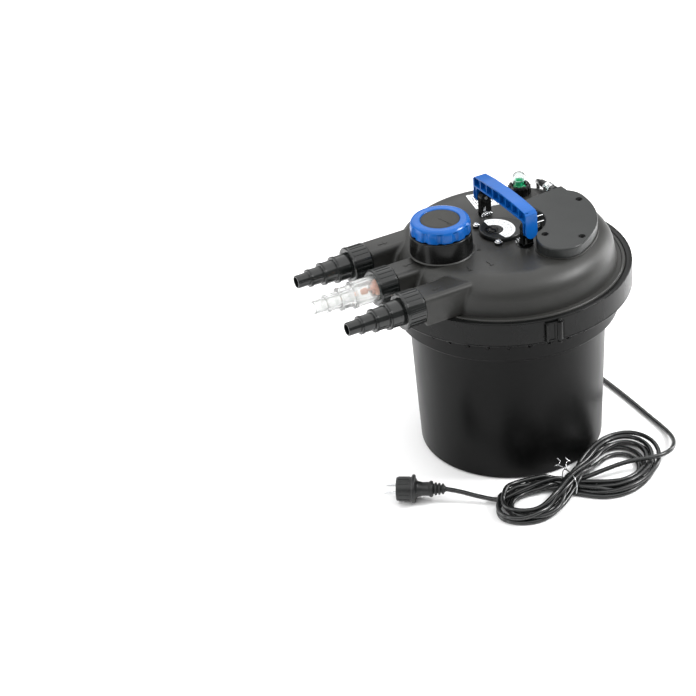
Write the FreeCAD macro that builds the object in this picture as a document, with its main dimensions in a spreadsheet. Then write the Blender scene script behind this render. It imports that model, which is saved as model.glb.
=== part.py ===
"""Pond pressure filter with a UV clarifier head, its mains cord and its plug.

Frame: millimetres, Z up, origin at the middle of the bucket's foot. The three
hose ports point along -X and the carrying handle spans Y.
"""
import FreeCAD, Part
import math
import os
import Sketcher

doc = FreeCAD.newDocument("pond_pressure_filter")
V = FreeCAD.Vector

# ---------------------------------------------------------------- dimensions
DIMS = {
    # bucket
    "foot_radius": 141.7, "neck_radius": 150.2, "neck_height": 229.3, "wall": 4.0,
    "skirt_radius": 168.8, "skirt_top": 262.0, "rim_radius": 186.4, "rim_bottom": 267.3,
    "rim_top": 283.7, "seal_radius": 177.8, "seal_section": 2.9, "gusset_count": 36,
    # clamp band and its latch
    "band_radius": 190.0, "band_bottom": 267.0, "band_top": 304.6, "band_wall": 3.0,
    "lip_depth": 10.0, "latch_angle": -100.0, "latch_pin_radius": 2.0,
    # lid
    "lid_bottom": 284.0, "lid_flange_top": 299.7, "lid_step_top": 303.5,
    "lid_step_radius": 179.0, "dome_radius": 167.6, "dome_top_radius": 157.7,
    "lid_top": 356.0, "shoulder": 36.0, "duct_width": 44.0, "duct_bottom": 305.5,
    "duct_top": 350.0, "duct_end": 192.0, "duct_round": 8.0,
    "duct_blend": 7.0,
    # hose ports
    "port_height": 329.5, "port_pitch": 80.5, "port_bore": 16.0, "spigot_radius": 21.0,
    "spigot_length": 18.0, "gasket_thick": 2.0, "collar_thick": 5.0, "nut_radius": 27.0,
    "nut_length": 32.0, "nut_gap": 0.5, "tail_bore": 7.5, "barb": 1.0,
    # selector
    "selector_place": 107.0, "turret_radius": 47.0, "knob_radius": 44.0,
    "knob_bottom": 388.0, "knob_height": 20.0, "inlay_radius": 28.8, "shaft_radius": 6.0,
    # squeeze handle
    "rod_place": 59.5, "rod_radius": 5.0, "post_width": 18.0, "post_depth": 11.0,
    "pivot_place": 3.0, "pivot_height": 384.0, "handle_width": 22.0, "handle_half": 75.0,
    "handle_top": 420.0, "handle_under": 401.5, "leg_thick": 9.0, "plate_radius": 124.0,
    "plate_bottom": 14.0, "plate_thick": 6.0,
    # filter stack
    "core_radius": 40.0, "foam_inner": 66.0, "foam_outer": 128.0, "foam_height": 50.6,
    "foam_pitch": 51.0, "foam_bottom": 21.0, "stop_height": 226.0,
    # UV cover
    "cover_radius": 139.0, "cover_near": 46.0, "cover_left": 98.0, "cover_right": 87.0,
    "cover_corner": 36.0, "cover_bottom": 358.0, "cover_top": 373.0, "cover_turn": -30.0,
    "cover_edge": 2.5, "bite_radius": 54.0, "bite_place": 8.0, "bite_side": -6.0,
    # cord and plug
    "cord_radius": 3.5, "plug_turn": 146.5,
}

sheet = doc.addObject("Spreadsheet::Sheet", "dims")
for row, (name, size) in enumerate(DIMS.items(), 1):
    sheet.set("A%d" % row, name)
    sheet.set("B%d" % row, str(size))
    sheet.setAlias("B%d" % row, name)
doc.recompute()


class Size:
    """A size that carries its value and the sheet formula it comes from."""

    def __init__(self, value, text):
        self.value = value
        self.text = text

    def __add__(self, other):
        return Size(self.value + number(other), "(%s + %s)" % (self.text, formula(other)))

    def __sub__(self, other):
        return Size(self.value - number(other), "(%s - %s)" % (self.text, formula(other)))

    def __mul__(self, other):
        return Size(self.value * number(other), "(%s * %s)" % (self.text, formula(other)))

    def __neg__(self):
        return Size(-self.value, "(0 - %s)" % self.text)


def number(size):
    return size.value if isinstance(size, Size) else float(size)


def formula(size):
    return size.text if isinstance(size, Size) else repr(float(size))


class Sheet:
    """Gives each sheet cell as a Size, by its alias."""

    def __getattr__(self, name):
        return Size(DIMS[name], "dims." + name)


d = Sheet()
nodes = []


def bind(item, prop, size):
    """Set a property and, when the size comes from the sheet, tie it to its cell."""
    if isinstance(size, Size):
        item.setExpression(prop, size.text)
    else:
        setattr(item, prop, size)


def place(item, x=0, y=0, z=0, axis=V(0, 0, 1), turn=0.0):
    """Put an object at a point, turned about an axis; sheet sizes stay tied."""
    item.Placement = FreeCAD.Placement(V(number(x), number(y), number(z)),
                                       FreeCAD.Rotation(axis, number(turn)))
    for letter, size in (("x", x), ("y", y), ("z", z)):
        if isinstance(size, Size):
            item.setExpression("Placement.Base." + letter, size.text)
    if isinstance(turn, Size):
        item.setExpression("Placement.Rotation.Angle", turn.text)
    return item


def swing(item, angle):
    """Swing an object about the bucket's own axis."""
    turn = FreeCAD.Placement(V(0, 0, 0), FreeCAD.Rotation(V(0, 0, 1), number(angle)))
    item.Placement = turn.multiply(item.Placement)
    return item


def node(item, label):
    """Name an object as one of the exported sub-parts."""
    item.Label = label
    nodes.append(item)
    return item


# ------------------------------------------------------------ shape builders
def origin_plane(body, role):
    for item in body.Origin.OriginFeatures:
        if item.Role == role:
            return item
    raise ValueError(role)


def new_sketch(body, role):
    sketch = body.newObject("Sketcher::SketchObject", body.Name + "_sketch")
    sketch.AttachmentSupport = [(origin_plane(body, role), "")]
    sketch.MapMode = "FlatFace"
    return sketch


def draw(sketch, outline):
    """Draw a closed outline of straight runs, each corner held by its two sizes."""
    corners = [V(number(x), number(y), 0) for x, y in outline]
    count = len(corners)
    for i in range(count):
        sketch.addGeometry(Part.LineSegment(corners[i], corners[(i + 1) % count]), False)
    for i in range(count):
        sketch.addConstraint(Sketcher.Constraint("Coincident", i, 2, (i + 1) % count, 1))
    for i, point in enumerate(outline):
        for kind, axis, size in (("DistanceX", -2, point[0]), ("DistanceY", -1, point[1])):
            if abs(number(size)) < 1e-9:
                sketch.addConstraint(Sketcher.Constraint("PointOnObject", i, 1, axis))
                continue
            held = sketch.addConstraint(Sketcher.Constraint(kind, -1, 1, i, 1, number(size)))
            if isinstance(size, Size):
                sketch.setExpression("Constraints[%d]" % held, size.text)


def turned(name, outline):
    """A body turned about its own Z axis from (radius, height) points."""
    body = doc.addObject("PartDesign::Body", name)
    sketch = new_sketch(body, "XZ_Plane")
    draw(sketch, outline)
    turn = body.newObject("PartDesign::Revolution", name + "_turn")
    turn.Profile = sketch
    turn.ReferenceAxis = (sketch, ["V_Axis"])
    turn.Angle = 360
    doc.recompute()
    return body


def padded(name, outline, length, role):
    """A body padded both ways from a closed outline on one of its planes."""
    body = doc.addObject("PartDesign::Body", name)
    sketch = new_sketch(body, role)
    draw(sketch, outline)
    pad = body.newObject("PartDesign::Pad", name + "_pad")
    pad.Profile = sketch
    bind(pad, "Length", length)
    pad.Midplane = True
    doc.recompute()
    return body


def repeat_round(body, outline, length, count):
    """Add one rib, drawn on the XZ plane, and repeat it round the body's Z axis."""
    sketch = new_sketch(body, "XZ_Plane")
    draw(sketch, outline)
    rib = body.newObject("PartDesign::Pad", body.Name + "_rib")
    rib.Profile = sketch
    bind(rib, "Length", length)
    rib.Midplane = True
    doc.recompute()
    ring = body.newObject("PartDesign::PolarPattern", body.Name + "_ribs")
    ring.Originals = [rib]
    ring.Axis = (sketch, ["V_Axis"])
    ring.Angle = 360
    bind(ring, "Occurrences", count)
    body.Tip = ring
    doc.recompute()
    return body


def round_edges(body, radius, wanted):
    """Fillet the body's tip along the edges that the test accepts."""
    tip = body.Tip
    edges = ["Edge%d" % i for i, edge in enumerate(tip.Shape.Edges, 1) if wanted(edge)]
    fillet = body.newObject("PartDesign::Fillet", body.Name + "_round")
    fillet.Base = (tip, edges)
    bind(fillet, "Radius", radius)
    doc.recompute()
    return body


def hoop(radius, height):
    """Accept the circular edge of this radius at this height."""
    def accept(edge):
        curve = edge.Curve
        return (isinstance(curve, Part.Circle) and abs(curve.Radius - number(radius)) < 0.05
                and abs(curve.Center.z - number(height)) < 0.05)
    return accept


def rod(name, radius, length, x=0, y=0, z=0, axis=V(0, 0, 1), turn=0.0):
    item = doc.addObject("Part::Cylinder", name)
    bind(item, "Radius", radius)
    bind(item, "Height", length)
    return place(item, x, y, z, axis, turn)


def block(name, sizes, x=0, y=0, z=0, axis=V(0, 0, 1), turn=0.0):
    item = doc.addObject("Part::Box", name)
    for prop, size in zip(("Length", "Width", "Height"), sizes):
        bind(item, prop, size)
    return place(item, x, y, z, axis, turn)


def fuse(name, items):
    item = doc.addObject("Part::MultiFuse", name)
    item.Shapes = items
    return item


def cut(name, base, tool):
    item = doc.addObject("Part::Cut", name)
    item.Base = base
    item.Tool = tool
    return item


def soften(name, base, radius, wanted):
    """Part::Fillet over the edges that the test accepts."""
    doc.recompute()
    item = doc.addObject("Part::Fillet", name)
    item.Base = base
    item.Edges = [(i, number(radius), number(radius))
                  for i, edge in enumerate(base.Shape.Edges, 1) if wanted(edge)]
    return item


def along(direction, low=None):
    """Accept straight edges along a direction, above a height when one is given."""
    def accept(edge):
        if not isinstance(edge.Curve, Part.Line):
            return False
        run = edge.Vertexes[-1].Point - edge.Vertexes[0].Point
        if run.normalize().cross(direction).Length > 0.01:
            return False
        return low is None or min(v.Z for v in edge.Vertexes) > low
    return accept


def at_height(height):
    """Accept the edges that lie level at a height."""
    def accept(edge):
        box = edge.BoundBox
        return abs(box.ZMin - number(height)) < 0.01 and abs(box.ZMax - number(height)) < 0.01
    return accept


def round_corners(points):
    """A wire of straight runs through the points, with tangent arcs at the corners."""
    edges = []
    start = points[0]
    for before, corner, after in zip(points, points[1:], points[2:]):
        reach = 0.45 * min((before - corner).Length, (after - corner).Length)
        inward = (before - corner).normalize()
        onward = (after - corner).normalize()
        half = inward.getAngle(onward) / 2
        first = corner + inward * reach
        last = corner + onward * reach
        bulge = (inward + onward).normalize()
        bend = reach * math.tan(half)
        middle = corner + bulge * (math.hypot(reach, bend) - bend)
        print("bend radius %.0f mm" % bend)
        edges.append(Part.LineSegment(start, first).toShape())
        edges.append(Part.Arc(first, middle, last).toShape())
        start = last
    edges.append(Part.LineSegment(start, points[-1]).toShape())
    return Part.Wire(edges)


# -------------------------------------------------------------------- bucket
def make_bucket():
    seat = d.seal_radius
    groove = d.seal_section + 0.3
    bucket = turned("bucket", [
        (0, 0), (d.foot_radius, 0), (d.neck_radius, d.neck_height),
        (d.skirt_radius, d.neck_height), (d.skirt_radius + 3, d.skirt_top),
        (d.rim_radius, d.rim_bottom), (d.rim_radius, d.rim_top),
        (seat + groove, d.rim_top), (seat + groove, d.rim_top - 6.2),
        (seat - groove, d.rim_top - 6.2), (seat - groove, d.rim_top),
        (d.skirt_radius - 0.8, d.rim_top), (d.skirt_radius - d.wall, d.neck_height + d.wall),
        (d.neck_radius - d.wall, d.neck_height + d.wall), (d.foot_radius - d.wall, d.wall),
        (0, d.wall)])
    round_edges(bucket, 8, hoop(d.foot_radius, 0))
    gusset = [(d.skirt_radius + 1, d.skirt_top - 8), (d.skirt_radius + 2, d.rim_bottom + 1),
              (d.rim_radius - 2, d.rim_bottom + 1), (d.rim_radius - 3, d.rim_bottom - 0.4)]
    node(repeat_round(bucket, gusset, 3, d.gusset_count), "bucket")


def make_seal():
    seal = doc.addObject("Part::Torus", "lid_seal")
    bind(seal, "Radius1", d.seal_radius)
    bind(seal, "Radius2", d.seal_section)
    node(place(seal, 0, 0, d.rim_top - 3.2), "lid_seal")


# ------------------------------------------------------------ band and latch
LATCH_PIN_OUT = 192.3      # distance of the latch pin from the bucket's axis
LATCH_PIN_SIDE = 8.0       # how far the pin sits from the middle of the window


def at_latch(item):
    """Swing an object from the +X side of the band round to the latch."""
    return swing(item, d.latch_angle)


def make_band():
    inner = d.band_radius - d.band_wall
    lip = d.band_top - 4.6
    hoop_body = turned("band_hoop", [
        (inner, d.band_bottom), (d.band_radius, d.band_bottom), (d.band_radius, d.band_top),
        (d.band_radius - d.lip_depth, d.band_top), (d.band_radius - d.lip_depth, lip),
        (inner, lip)])
    bosses = [at_latch(rod("pin_boss", 4.2, 3.9, LATCH_PIN_OUT, LATCH_PIN_SIDE, height))
              for height in (d.band_bottom.value, d.band_top.value - 3.9)]
    window = at_latch(block("latch_window", (16, 31, 29.8), 182, -16, 270.9))
    pin_hole = at_latch(rod("pin_hole", d.latch_pin_radius, 60, LATCH_PIN_OUT,
                            LATCH_PIN_SIDE, 260))
    whole = fuse("band_whole", [hoop_body] + bosses)
    node(cut("clamp_band", whole, fuse("band_cuts", [window, pin_hole])), "clamp_band")
    pin = rod("latch_pin", d.latch_pin_radius, d.band_top - d.band_bottom,
              LATCH_PIN_OUT, LATCH_PIN_SIDE, d.band_bottom.value)
    node(at_latch(pin), "latch_pin")


def make_latch():
    bottom = 271.3
    height = 29.0
    plate = block("latch_plate", (6.4, 21, height), 187.4, LATCH_PIN_SIDE - 21, bottom)
    grip = block("latch_grip", (3.4, 4, height), 192.8, LATCH_PIN_SIDE - 21, bottom)
    knuckle = rod("latch_knuckle", 4.8, height, LATCH_PIN_OUT, LATCH_PIN_SIDE, bottom)
    bore = rod("latch_bore", d.latch_pin_radius + 0.08, 60, LATCH_PIN_OUT, LATCH_PIN_SIDE, 260)
    solids = [at_latch(item) for item in (plate, grip, knuckle)]
    node(cut("latch_lever", fuse("latch_whole", solids), at_latch(bore)), "latch_lever")


# ----------------------------------------------------------------------- lid
PORTS = (("outlet", -1), ("clear", 0), ("inlet", 1))


COVER_LEAN = 35.2     # slope of the cover's straight corner beside the handle


def cover_solid(name, inset, bottom, height):
    """The D-shaped outline of the UV cover, drawn in by an inset, as a solid."""
    far = rod(name + "_disc", d.cover_radius - inset, height, 0, 0, bottom)
    slab = block(name + "_slab", (110, d.cover_left + d.cover_right - 2 * inset, height),
                 d.cover_near + inset, -d.cover_left + inset, bottom)
    common = doc.addObject("Part::Common", name + "_common")
    common.Base = far
    common.Tool = slab
    rounded = soften(name + "_rounded", common, d.cover_corner.value - inset, along(V(0, 0, 1)))
    lean = math.radians(COVER_LEAN)
    reach = 36 - inset
    corner = block(name + "_corner", (reach + 3, 30 - inset, height),
                   57 - reach * math.cos(lean) + 30 * math.sin(lean),
                   76.5 - reach * math.sin(lean) - 30 * math.cos(lean), bottom, turn=COVER_LEAN)
    bite = rod(name + "_bite", d.bite_radius + inset, 60, d.bite_place, d.bite_side,
               number(bottom) - 20)
    item = cut(name + "_outline", fuse(name + "_sides", [rounded, corner]), bite)
    return place(item, turn=d.cover_turn)


def duct_seam(edge):
    """Accept the curved edges where the hose ducts run into the dome."""
    box = edge.BoundBox
    middle = edge.valueAt((edge.FirstParameter + edge.LastParameter) / 2)
    return (not isinstance(edge.Curve, Part.Line) and box.XMin > -170 and box.XMax < -99
            and box.XLength > 0.5 and middle.z > 306.5)


def make_lid():
    outer = turned("lid_outer", [
        (0, d.lid_bottom), (d.rim_radius, d.lid_bottom), (d.rim_radius, d.lid_flange_top),
        (d.lid_step_radius, d.lid_flange_top), (d.lid_step_radius, d.lid_step_top),
        (d.dome_radius, d.lid_step_top), (d.dome_top_radius, d.lid_top), (0, d.lid_top)])
    round_edges(outer, d.shoulder, hoop(d.dome_top_radius, d.lid_top))
    cavity = turned("lid_cavity", [
        (0, d.lid_bottom - 1), (d.dome_radius - d.wall, d.lid_bottom - 1),
        (d.dome_radius - d.wall, d.lid_step_top - d.wall),
        (d.dome_top_radius - d.wall, d.lid_top - d.wall), (0, d.lid_top - d.wall)])
    round_edges(cavity, d.shoulder - d.wall, hoop(d.dome_top_radius - d.wall, d.lid_top - d.wall))
    added = [outer, cover_solid("plinth", -1.5, d.lid_top - 6, 8),
             rod("sight_seat", 18, 8, SIGHT[0], SIGHT[1], 348.5)]
    bores = []
    for label, side in PORTS:
        beam = block(label + "_beam", (d.duct_end - 100, d.duct_width, d.duct_top - d.duct_bottom),
                     -d.duct_end, d.port_pitch * side - d.duct_width * 0.5, d.duct_bottom)
        added.append(soften(label + "_duct", beam, d.duct_round, along(V(1, 0, 0), 340)))
        added.append(toward_port(rod(label + "_spigot", d.spigot_radius, d.spigot_length + 5),
                                 side, -5))
        bores.append(toward_port(rod(label + "_bore", d.port_bore, 90), side, -62))
    mass = soften("lid_soft", fuse("lid_mass", added), d.duct_blend, duct_seam)
    shell = cut("lid_shell", mass, cavity)
    bosses = [rod("rod_boss", 12, 16, 0, d.rod_place * side, 337) for side in (-1, 1)]
    bosses.append(rod("shaft_boss", 14, 10, -d.selector_place, 0, 343))
    bores += [rod("rod_bore", d.rod_radius + 0.4, 40, 0, d.rod_place * side, 330)
              for side in (-1, 1)]
    bores += [rod("seal_pocket", 9, 6, 0, d.rod_place * side, 337) for side in (-1, 1)]
    bores.append(rod("shaft_bore", d.shaft_radius + 0.4, 40, -d.selector_place, 0, 330))
    bores += [rod("screw_bore", 3, 30, x, y, 345) for x, y in COVER_SCREWS]
    whole = fuse("lid_whole", [shell] + bosses)
    node(cut("lid", whole, fuse("lid_bores", bores)), "lid")


# --------------------------------------------------------------- hose ports
def toward_port(item, side, out):
    """Lay an object's Z axis along -X, from a duct's end face outward."""
    return place(item, -d.duct_end - out, d.port_pitch * side, d.port_height, V(0, 1, 0), -90)


def tail_outline(longer):
    """Steps of a hose tail, from its collar to its tip, with a bead on each step."""
    collar = d.spigot_length + d.gasket_thick
    outline = [(13, collar), (d.spigot_radius, collar), (d.spigot_radius, collar + d.collar_thick),
               (19.7, collar + d.collar_thick)]
    reach = d.nut_length + longer
    for radius, length, after in ((19.7, 23.9, 16.5), (16.5, 21.3, 12.8), (12.8, 21.4, 10)):
        outline += [(radius, reach + length - 4), (radius + d.barb.value, reach + length - 4),
                    (radius, reach + length), (after, reach + length)]
        reach = reach + length
    outline += [(10, reach + 18), (9.2, reach + 18.8), (d.tail_bore, reach + 18.8),
                (d.tail_bore, d.nut_length + longer + 24), (13, d.nut_length + longer + 18)]
    return outline


def make_ports():
    gaskets = []
    for label, side in PORTS:
        longer = 12.5 if label == "clear" else 0
        tail = turned(label + "_tail", tail_outline(longer))
        node(toward_port(tail, side, 0), label + "_tail")
        gasket = turned(label + "_gasket", [
            (d.port_bore, 0), (d.spigot_radius, 0), (d.spigot_radius, d.gasket_thick),
            (d.port_bore, d.gasket_thick)])
        gaskets.append(toward_port(gasket, side, d.spigot_length))
        inside = d.spigot_radius + 0.3
        lip = d.spigot_length + d.gasket_thick + d.collar_thick + 0.3
        nut = turned(label + "_nut", [
            (inside, d.nut_gap), (d.nut_radius - 0.8, d.nut_gap),
            (d.nut_radius - 0.8, d.nut_length - 4), (d.nut_radius + 1, d.nut_length - 4),
            (d.nut_radius + 1, d.nut_length - 1), (d.nut_radius, d.nut_length),
            (20.1, d.nut_length), (20.1, lip), (inside, lip)])
        ribs = [(d.nut_radius - 1.5, 2), (d.nut_radius, 2), (d.nut_radius, d.nut_length - 4),
                (d.nut_radius - 1.5, d.nut_length - 4)]
        repeat_round(nut, ribs, 3, 24)
        node(toward_port(nut, side, 0), label + "_nut")
    node(group("port_gaskets", gaskets), "port_gaskets")
    flag = turned("flow_float", [(0, 0), (11.5, 0), (12, 1), (12, 5), (11.5, 6), (3, 6),
                                 (3, 14), (0, 14)])
    node(toward_port(flag, 0, 24), "flow_float")


# ------------------------------------------------------------------ selector
def make_selector():
    x = -d.selector_place
    turret = turned("turret", [
        (8, 0), (d.turret_radius, 0), (d.turret_radius - 1.5, 31.5), (d.turret_radius - 5, 31.5),
        (d.turret_radius - 5, 4), (8, 4)])
    node(place(turret, x, 0, d.lid_top), "selector_turret")
    knob = turned("knob", [
        (d.inlay_radius - 4, 16), (d.inlay_radius - 4, 0), (d.knob_radius, 0),
        (d.knob_radius, d.knob_height - 5), (d.knob_radius - 2, d.knob_height - 1),
        (d.knob_radius - 6, d.knob_height), (d.inlay_radius + 0.2, d.knob_height),
        (d.inlay_radius + 0.2, 17.5), (d.shaft_radius, 17.5), (d.shaft_radius, 16)])
    flute = [(d.knob_radius - 1, 0), (d.knob_radius + 0.8, 0), (d.knob_radius + 0.8, 13),
             (d.knob_radius - 1, 14)]
    repeat_round(knob, flute, 5, 16)
    node(place(knob, x, 0, d.knob_bottom), "selector_knob")
    node(rod("inlay", d.inlay_radius, 1.6, x, 0, d.knob_bottom + 17.5), "selector_inlay")
    node(rod("shaft", d.shaft_radius, 60.5, x, 0, 345), "selector_shaft")
    seal = doc.addObject("Part::Torus", "shaft_seal")
    seal.Radius1 = 8.2
    seal.Radius2 = 1.7
    node(place(seal, x, 0, 362), "shaft_seal")
    rotor = rod("rotor_drum", 30, 35, x, 0, 305)
    way = rod("rotor_way", 15, 80, -d.selector_place - 40, 0, 322, V(0, 1, 0), 90)
    stem = rod("rotor_stem", 9, 3, x, 0, 340)
    rotor_whole = fuse("rotor_whole", [cut("rotor_cut", rotor, way), stem])
    socket = rod("rotor_socket", d.shaft_radius, 30, x, 0, 345)
    node(cut("valve_rotor", rotor_whole, socket), "valve_rotor")


# ------------------------------------------------------------ squeeze handle
def make_posts():
    """Two lugs that stand on the pull rods and carry the handle."""
    for label, side in (("right", -1), ("left", 1)):
        foot = block(label + "_foot", (d.post_width, d.post_depth, d.pivot_height - 356.5),
                     d.pivot_place - d.post_width * 0.5,
                     d.rod_place * side - d.post_depth * 0.5, 356.5)
        head = rod(label + "_head", d.post_width * 0.5, d.post_depth, d.pivot_place,
                   d.rod_place * side + d.post_depth * 0.5, d.pivot_height, V(1, 0, 0), 90)
        socket = rod(label + "_socket", d.rod_radius, 20, 0, d.rod_place * side, 350)
        eye = rod(label + "_eye", 3, 40, d.pivot_place, d.rod_place * side + 20,
                  d.pivot_height, V(1, 0, 0), 90)
        whole = fuse(label + "_post_whole", [foot, head])
        node(cut(label + "_post", whole, fuse(label + "_post_cuts", [socket, eye])),
             label + "_post")
    rods = [rod("pull_rod", d.rod_radius, 370 - 20, 0, d.rod_place * side, 20)
            for side in (-1, 1)]
    node(group("pull_rods", rods), "pull_rods")
    pins = [rod("pivot_pin", 2.95, 20, d.pivot_place, 64.5 * side + 10, d.pivot_height,
                V(1, 0, 0), 90) for side in (-1, 1)]
    node(group("handle_pins", pins), "handle_pins")
    seals = [turned("rod_seal_%d" % i, [(d.rod_radius + 0.1, 0), (9, 0), (9, 4),
                                        (d.rod_radius + 0.1, 4)]) for i in (0, 1)]
    for seal, side in zip(seals, (-1, 1)):
        place(seal, 0, d.rod_place * side, 338)
    node(group("rod_seals", seals), "rod_seals")


def group(name, items):
    """Keep identical separate solids together in one sub-part."""
    item = doc.addObject("Part::Compound", name)
    item.Links = items
    return item


def make_handle():
    half = d.handle_half
    inner = half - d.leg_thick
    arch = place(padded("handle_arch", [
        (-half, d.pivot_height), (-inner, d.pivot_height), (-inner, d.handle_under - 1.5),
        (-inner + 1.5, d.handle_under), (inner - 1.5, d.handle_under),
        (inner, d.handle_under - 1.5), (inner, d.pivot_height), (half, d.pivot_height),
        (half, d.handle_top - 4), (half - 4, d.handle_top - 1), (0, d.handle_top + 1),
        (-half + 4, d.handle_top - 1), (-half, d.handle_top - 4)],
        d.handle_width, "YZ_Plane"), d.pivot_place)
    ends = [rod("leg_end", d.handle_width * 0.5, d.leg_thick, d.pivot_place, y, d.pivot_height,
                V(1, 0, 0), 90) for y in (half, -half + d.leg_thick)]
    pockets = []
    for i in range(8):
        pockets.append(block("pocket", (7, 13, 12), -9, -half + 6 + i * 17.5, d.handle_under + 3.5))
    eyes = [rod("leg_eye", 3.05, 30, d.pivot_place, y, d.pivot_height, V(1, 0, 0), 90)
            for y in (90, -60)]
    cuts = fuse("handle_cuts", pockets + eyes)
    node(cut("handle", fuse("handle_whole", [arch] + ends), cuts), "handle")


# -------------------------------------------------------------- filter stack
def make_stack():
    plate = turned("plate_disc", [
        (d.core_radius + 2.5, 0), (d.plate_radius, 0), (d.plate_radius, d.plate_thick),
        (d.core_radius + 2.5, d.plate_thick)])
    node(place(plate, 0, 0, d.plate_bottom), "squeeze_plate")
    for i in range(4):
        foam = turned("foam_%d" % (i + 1), [
            (d.foam_inner, 0), (d.foam_outer, 0), (d.foam_outer, d.foam_height),
            (d.foam_inner, d.foam_height)])
        node(place(foam, 0, 0, d.foam_bottom + d.foam_pitch * i), "foam_ring_%d" % (i + 1))
    ring = turned("stop_ring", [
        (d.core_radius, 0), (132, 0), (132, 4), (d.core_radius, 4)])
    place(ring, 0, 0, d.stop_height)
    holes = [rod("stop_hole", d.rod_radius + 1, 20, 0, d.rod_place * side, 220)
             for side in (-1, 1)]
    node(cut("foam_stop", ring, fuse("stop_holes", holes)), "foam_stop")
    tube = turned("core", [
        (d.core_radius - 3, 24.5), (d.core_radius, 24.5), (d.core_radius, 351.9),
        (d.core_radius - 3, 351.9)])
    slots = [block("core_slot", (100, 8, 150), -50, -4, 50),
             block("core_slot", (8, 100, 150), -4, -50, 50),
             block("core_gate", (100, 30, 40), -50, -15, 295)]
    node(cut("core_tube", tube, fuse("core_slots", slots)), "core_tube")


def make_lamp():
    node(turned("quartz_sleeve", [(0, 60), (13, 60), (13, 340), (11.5, 340), (11.5, 62),
                                  (0, 62)]), "quartz_sleeve")
    node(turned("sleeve_nut", [(13, 326), (24, 326), (24, 351.9), (13.1, 351.9),
                               (13.1, 340), (13, 340)]), "sleeve_nut")
    ring = doc.addObject("Part::Torus", "sleeve_seal")
    ring.Radius1 = 14.6
    ring.Radius2 = 1.5
    node(place(ring, 0, 0, 324.5), "sleeve_seal")
    node(turned("uvc_lamp", [(0, 80), (8, 80), (8, 330), (0, 330)]), "uvc_lamp")
    node(turned("lamp_socket", [(0, 330), (10, 330), (10, 351.9), (0, 351.9)]), "lamp_socket")


# ------------------------------------------------------------------ top gear
DIAL = (-6.0, -3.0)
HUB = (-20.0, -3.5)
SIGHT = (80.0, 85.0)
COVER_SCREWS = ((125.7, -11.3), (26.0, -73.6), (66.6, -109.7))
GLAND = (116.0, 366.0)     # x and height of the cord gland, whose axis is along Y


def make_dial():
    x, y = DIAL
    disc = rod("dial_disc", 34, 7, x, y, d.lid_top)
    ears = [rod("dial_ear", 6, 4, ear_x, ear_y, d.lid_top)
            for ear_x, ear_y in ((-30, 29), (-30, -34))]
    well = rod("dial_well", 8.5, 10, HUB[0], HUB[1], d.lid_top + 3)
    ear_holes = [rod("ear_hole", 2, 10, ear_x, ear_y, d.lid_top - 1)
                 for ear_x, ear_y in ((-30, 29), (-30, -34))]
    node(cut("dial_plate", fuse("dial_whole", [disc] + ears), fuse("dial_cuts", [well] + ear_holes)),
         "dial_plate")
    ring = rod("scale_ring", 33, 0.8, HUB[0], HUB[1], d.lid_top + 7)
    inner = rod("scale_inner", 15, 10, HUB[0], HUB[1], d.lid_top)
    behind = block("scale_behind", (40, 80, 10), HUB[0] - 40, HUB[1] - 40, d.lid_top)
    inside = rod("scale_bounds", 33.5, 20, x, y, d.lid_top)
    half = cut("scale_half", ring, fuse("scale_cuts", [inner, behind]))
    scale = doc.addObject("Part::Common", "dial_scale")
    scale.Base = half
    scale.Tool = inside
    node(scale, "dial_scale")
    hub = rod("pointer_hub", 7.5, 4.6, HUB[0], HUB[1], d.lid_top + 3.1)
    arm = block("pointer_arm", (3, 13.5, 1), HUB[0] - 1.5, HUB[1], d.lid_top + 7.3)
    node(fuse("dial_pointer", [hub, arm]), "dial_pointer")
    screws = []
    for ear_x, ear_y in ((-30, 29), (-30, -34)):
        head = rod("dial_screw_head", 4.6, 2.6, ear_x, ear_y, d.lid_top + 4)
        shank = rod("dial_screw_shank", 2, 4, ear_x, ear_y, d.lid_top)
        screws.append(fuse("dial_screw", [head, shank]))
    node(group("dial_screws", screws), "dial_screws")


def make_springs():
    """Two small catch springs that lie beside the posts' feet."""
    springs = []
    for side in (-1, 1):
        coil = doc.addObject("Part::Helix", "spring_coil")
        coil.Pitch = 3.8
        coil.Height = 15
        coil.Radius = 2.9
        ring = doc.addObject("Part::Circle", "spring_section")
        ring.Radius = 0.9
        place(ring, 2.9, 0, 0, V(1, 0, 0), 90)
        sweep = doc.addObject("Part::Sweep", "catch_spring")
        sweep.Sections = [ring]
        sweep.Spine = (coil, [])
        sweep.Solid = True
        sweep.Frenet = True
        springs.append(place(sweep, -7.5, 48.5 * side, 360.2, V(0, 1, 0), 90))
    node(group("catch_springs", springs), "catch_springs")


def make_cover():
    outline = cover_solid("cover", 0, d.cover_bottom, d.cover_top - d.cover_bottom)
    outer = soften("cover_soft", outline, d.cover_edge, at_height(d.cover_top))
    pad = block("gland_pad", (22, 18, 15), 105, 22, d.cover_bottom)
    whole = fuse("cover_whole", [outer, pad])
    hollow = cover_solid("cover_hollow", 3, d.cover_bottom - 1,
                         d.cover_top - d.cover_bottom - 2)
    holes = [rod("cover_hole", 3.1, 40, x, y, 350) for x, y in COVER_SCREWS]
    holes += [rod("cover_sink", 5.5, 5, x, y, d.cover_top - 1.5) for x, y in COVER_SCREWS]
    node(cut("uv_cover", whole, fuse("cover_cuts", [hollow] + holes)), "uv_cover")
    screws = []
    for x, y in COVER_SCREWS:
        head = rod("cover_screw_head", 5, 1.2, x, y, d.cover_top - 1.5)
        shank = rod("cover_screw_shank", 3, 21.5, x, y, 350)
        screws.append(fuse("cover_screw", [head, shank]))
    node(group("cover_screws", screws), "cover_screws")
    ballast = block("ballast_can", (34, 62, 9), 84, -42, d.cover_bottom.value)
    node(swing(ballast, d.cover_turn), "ballast")


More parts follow.
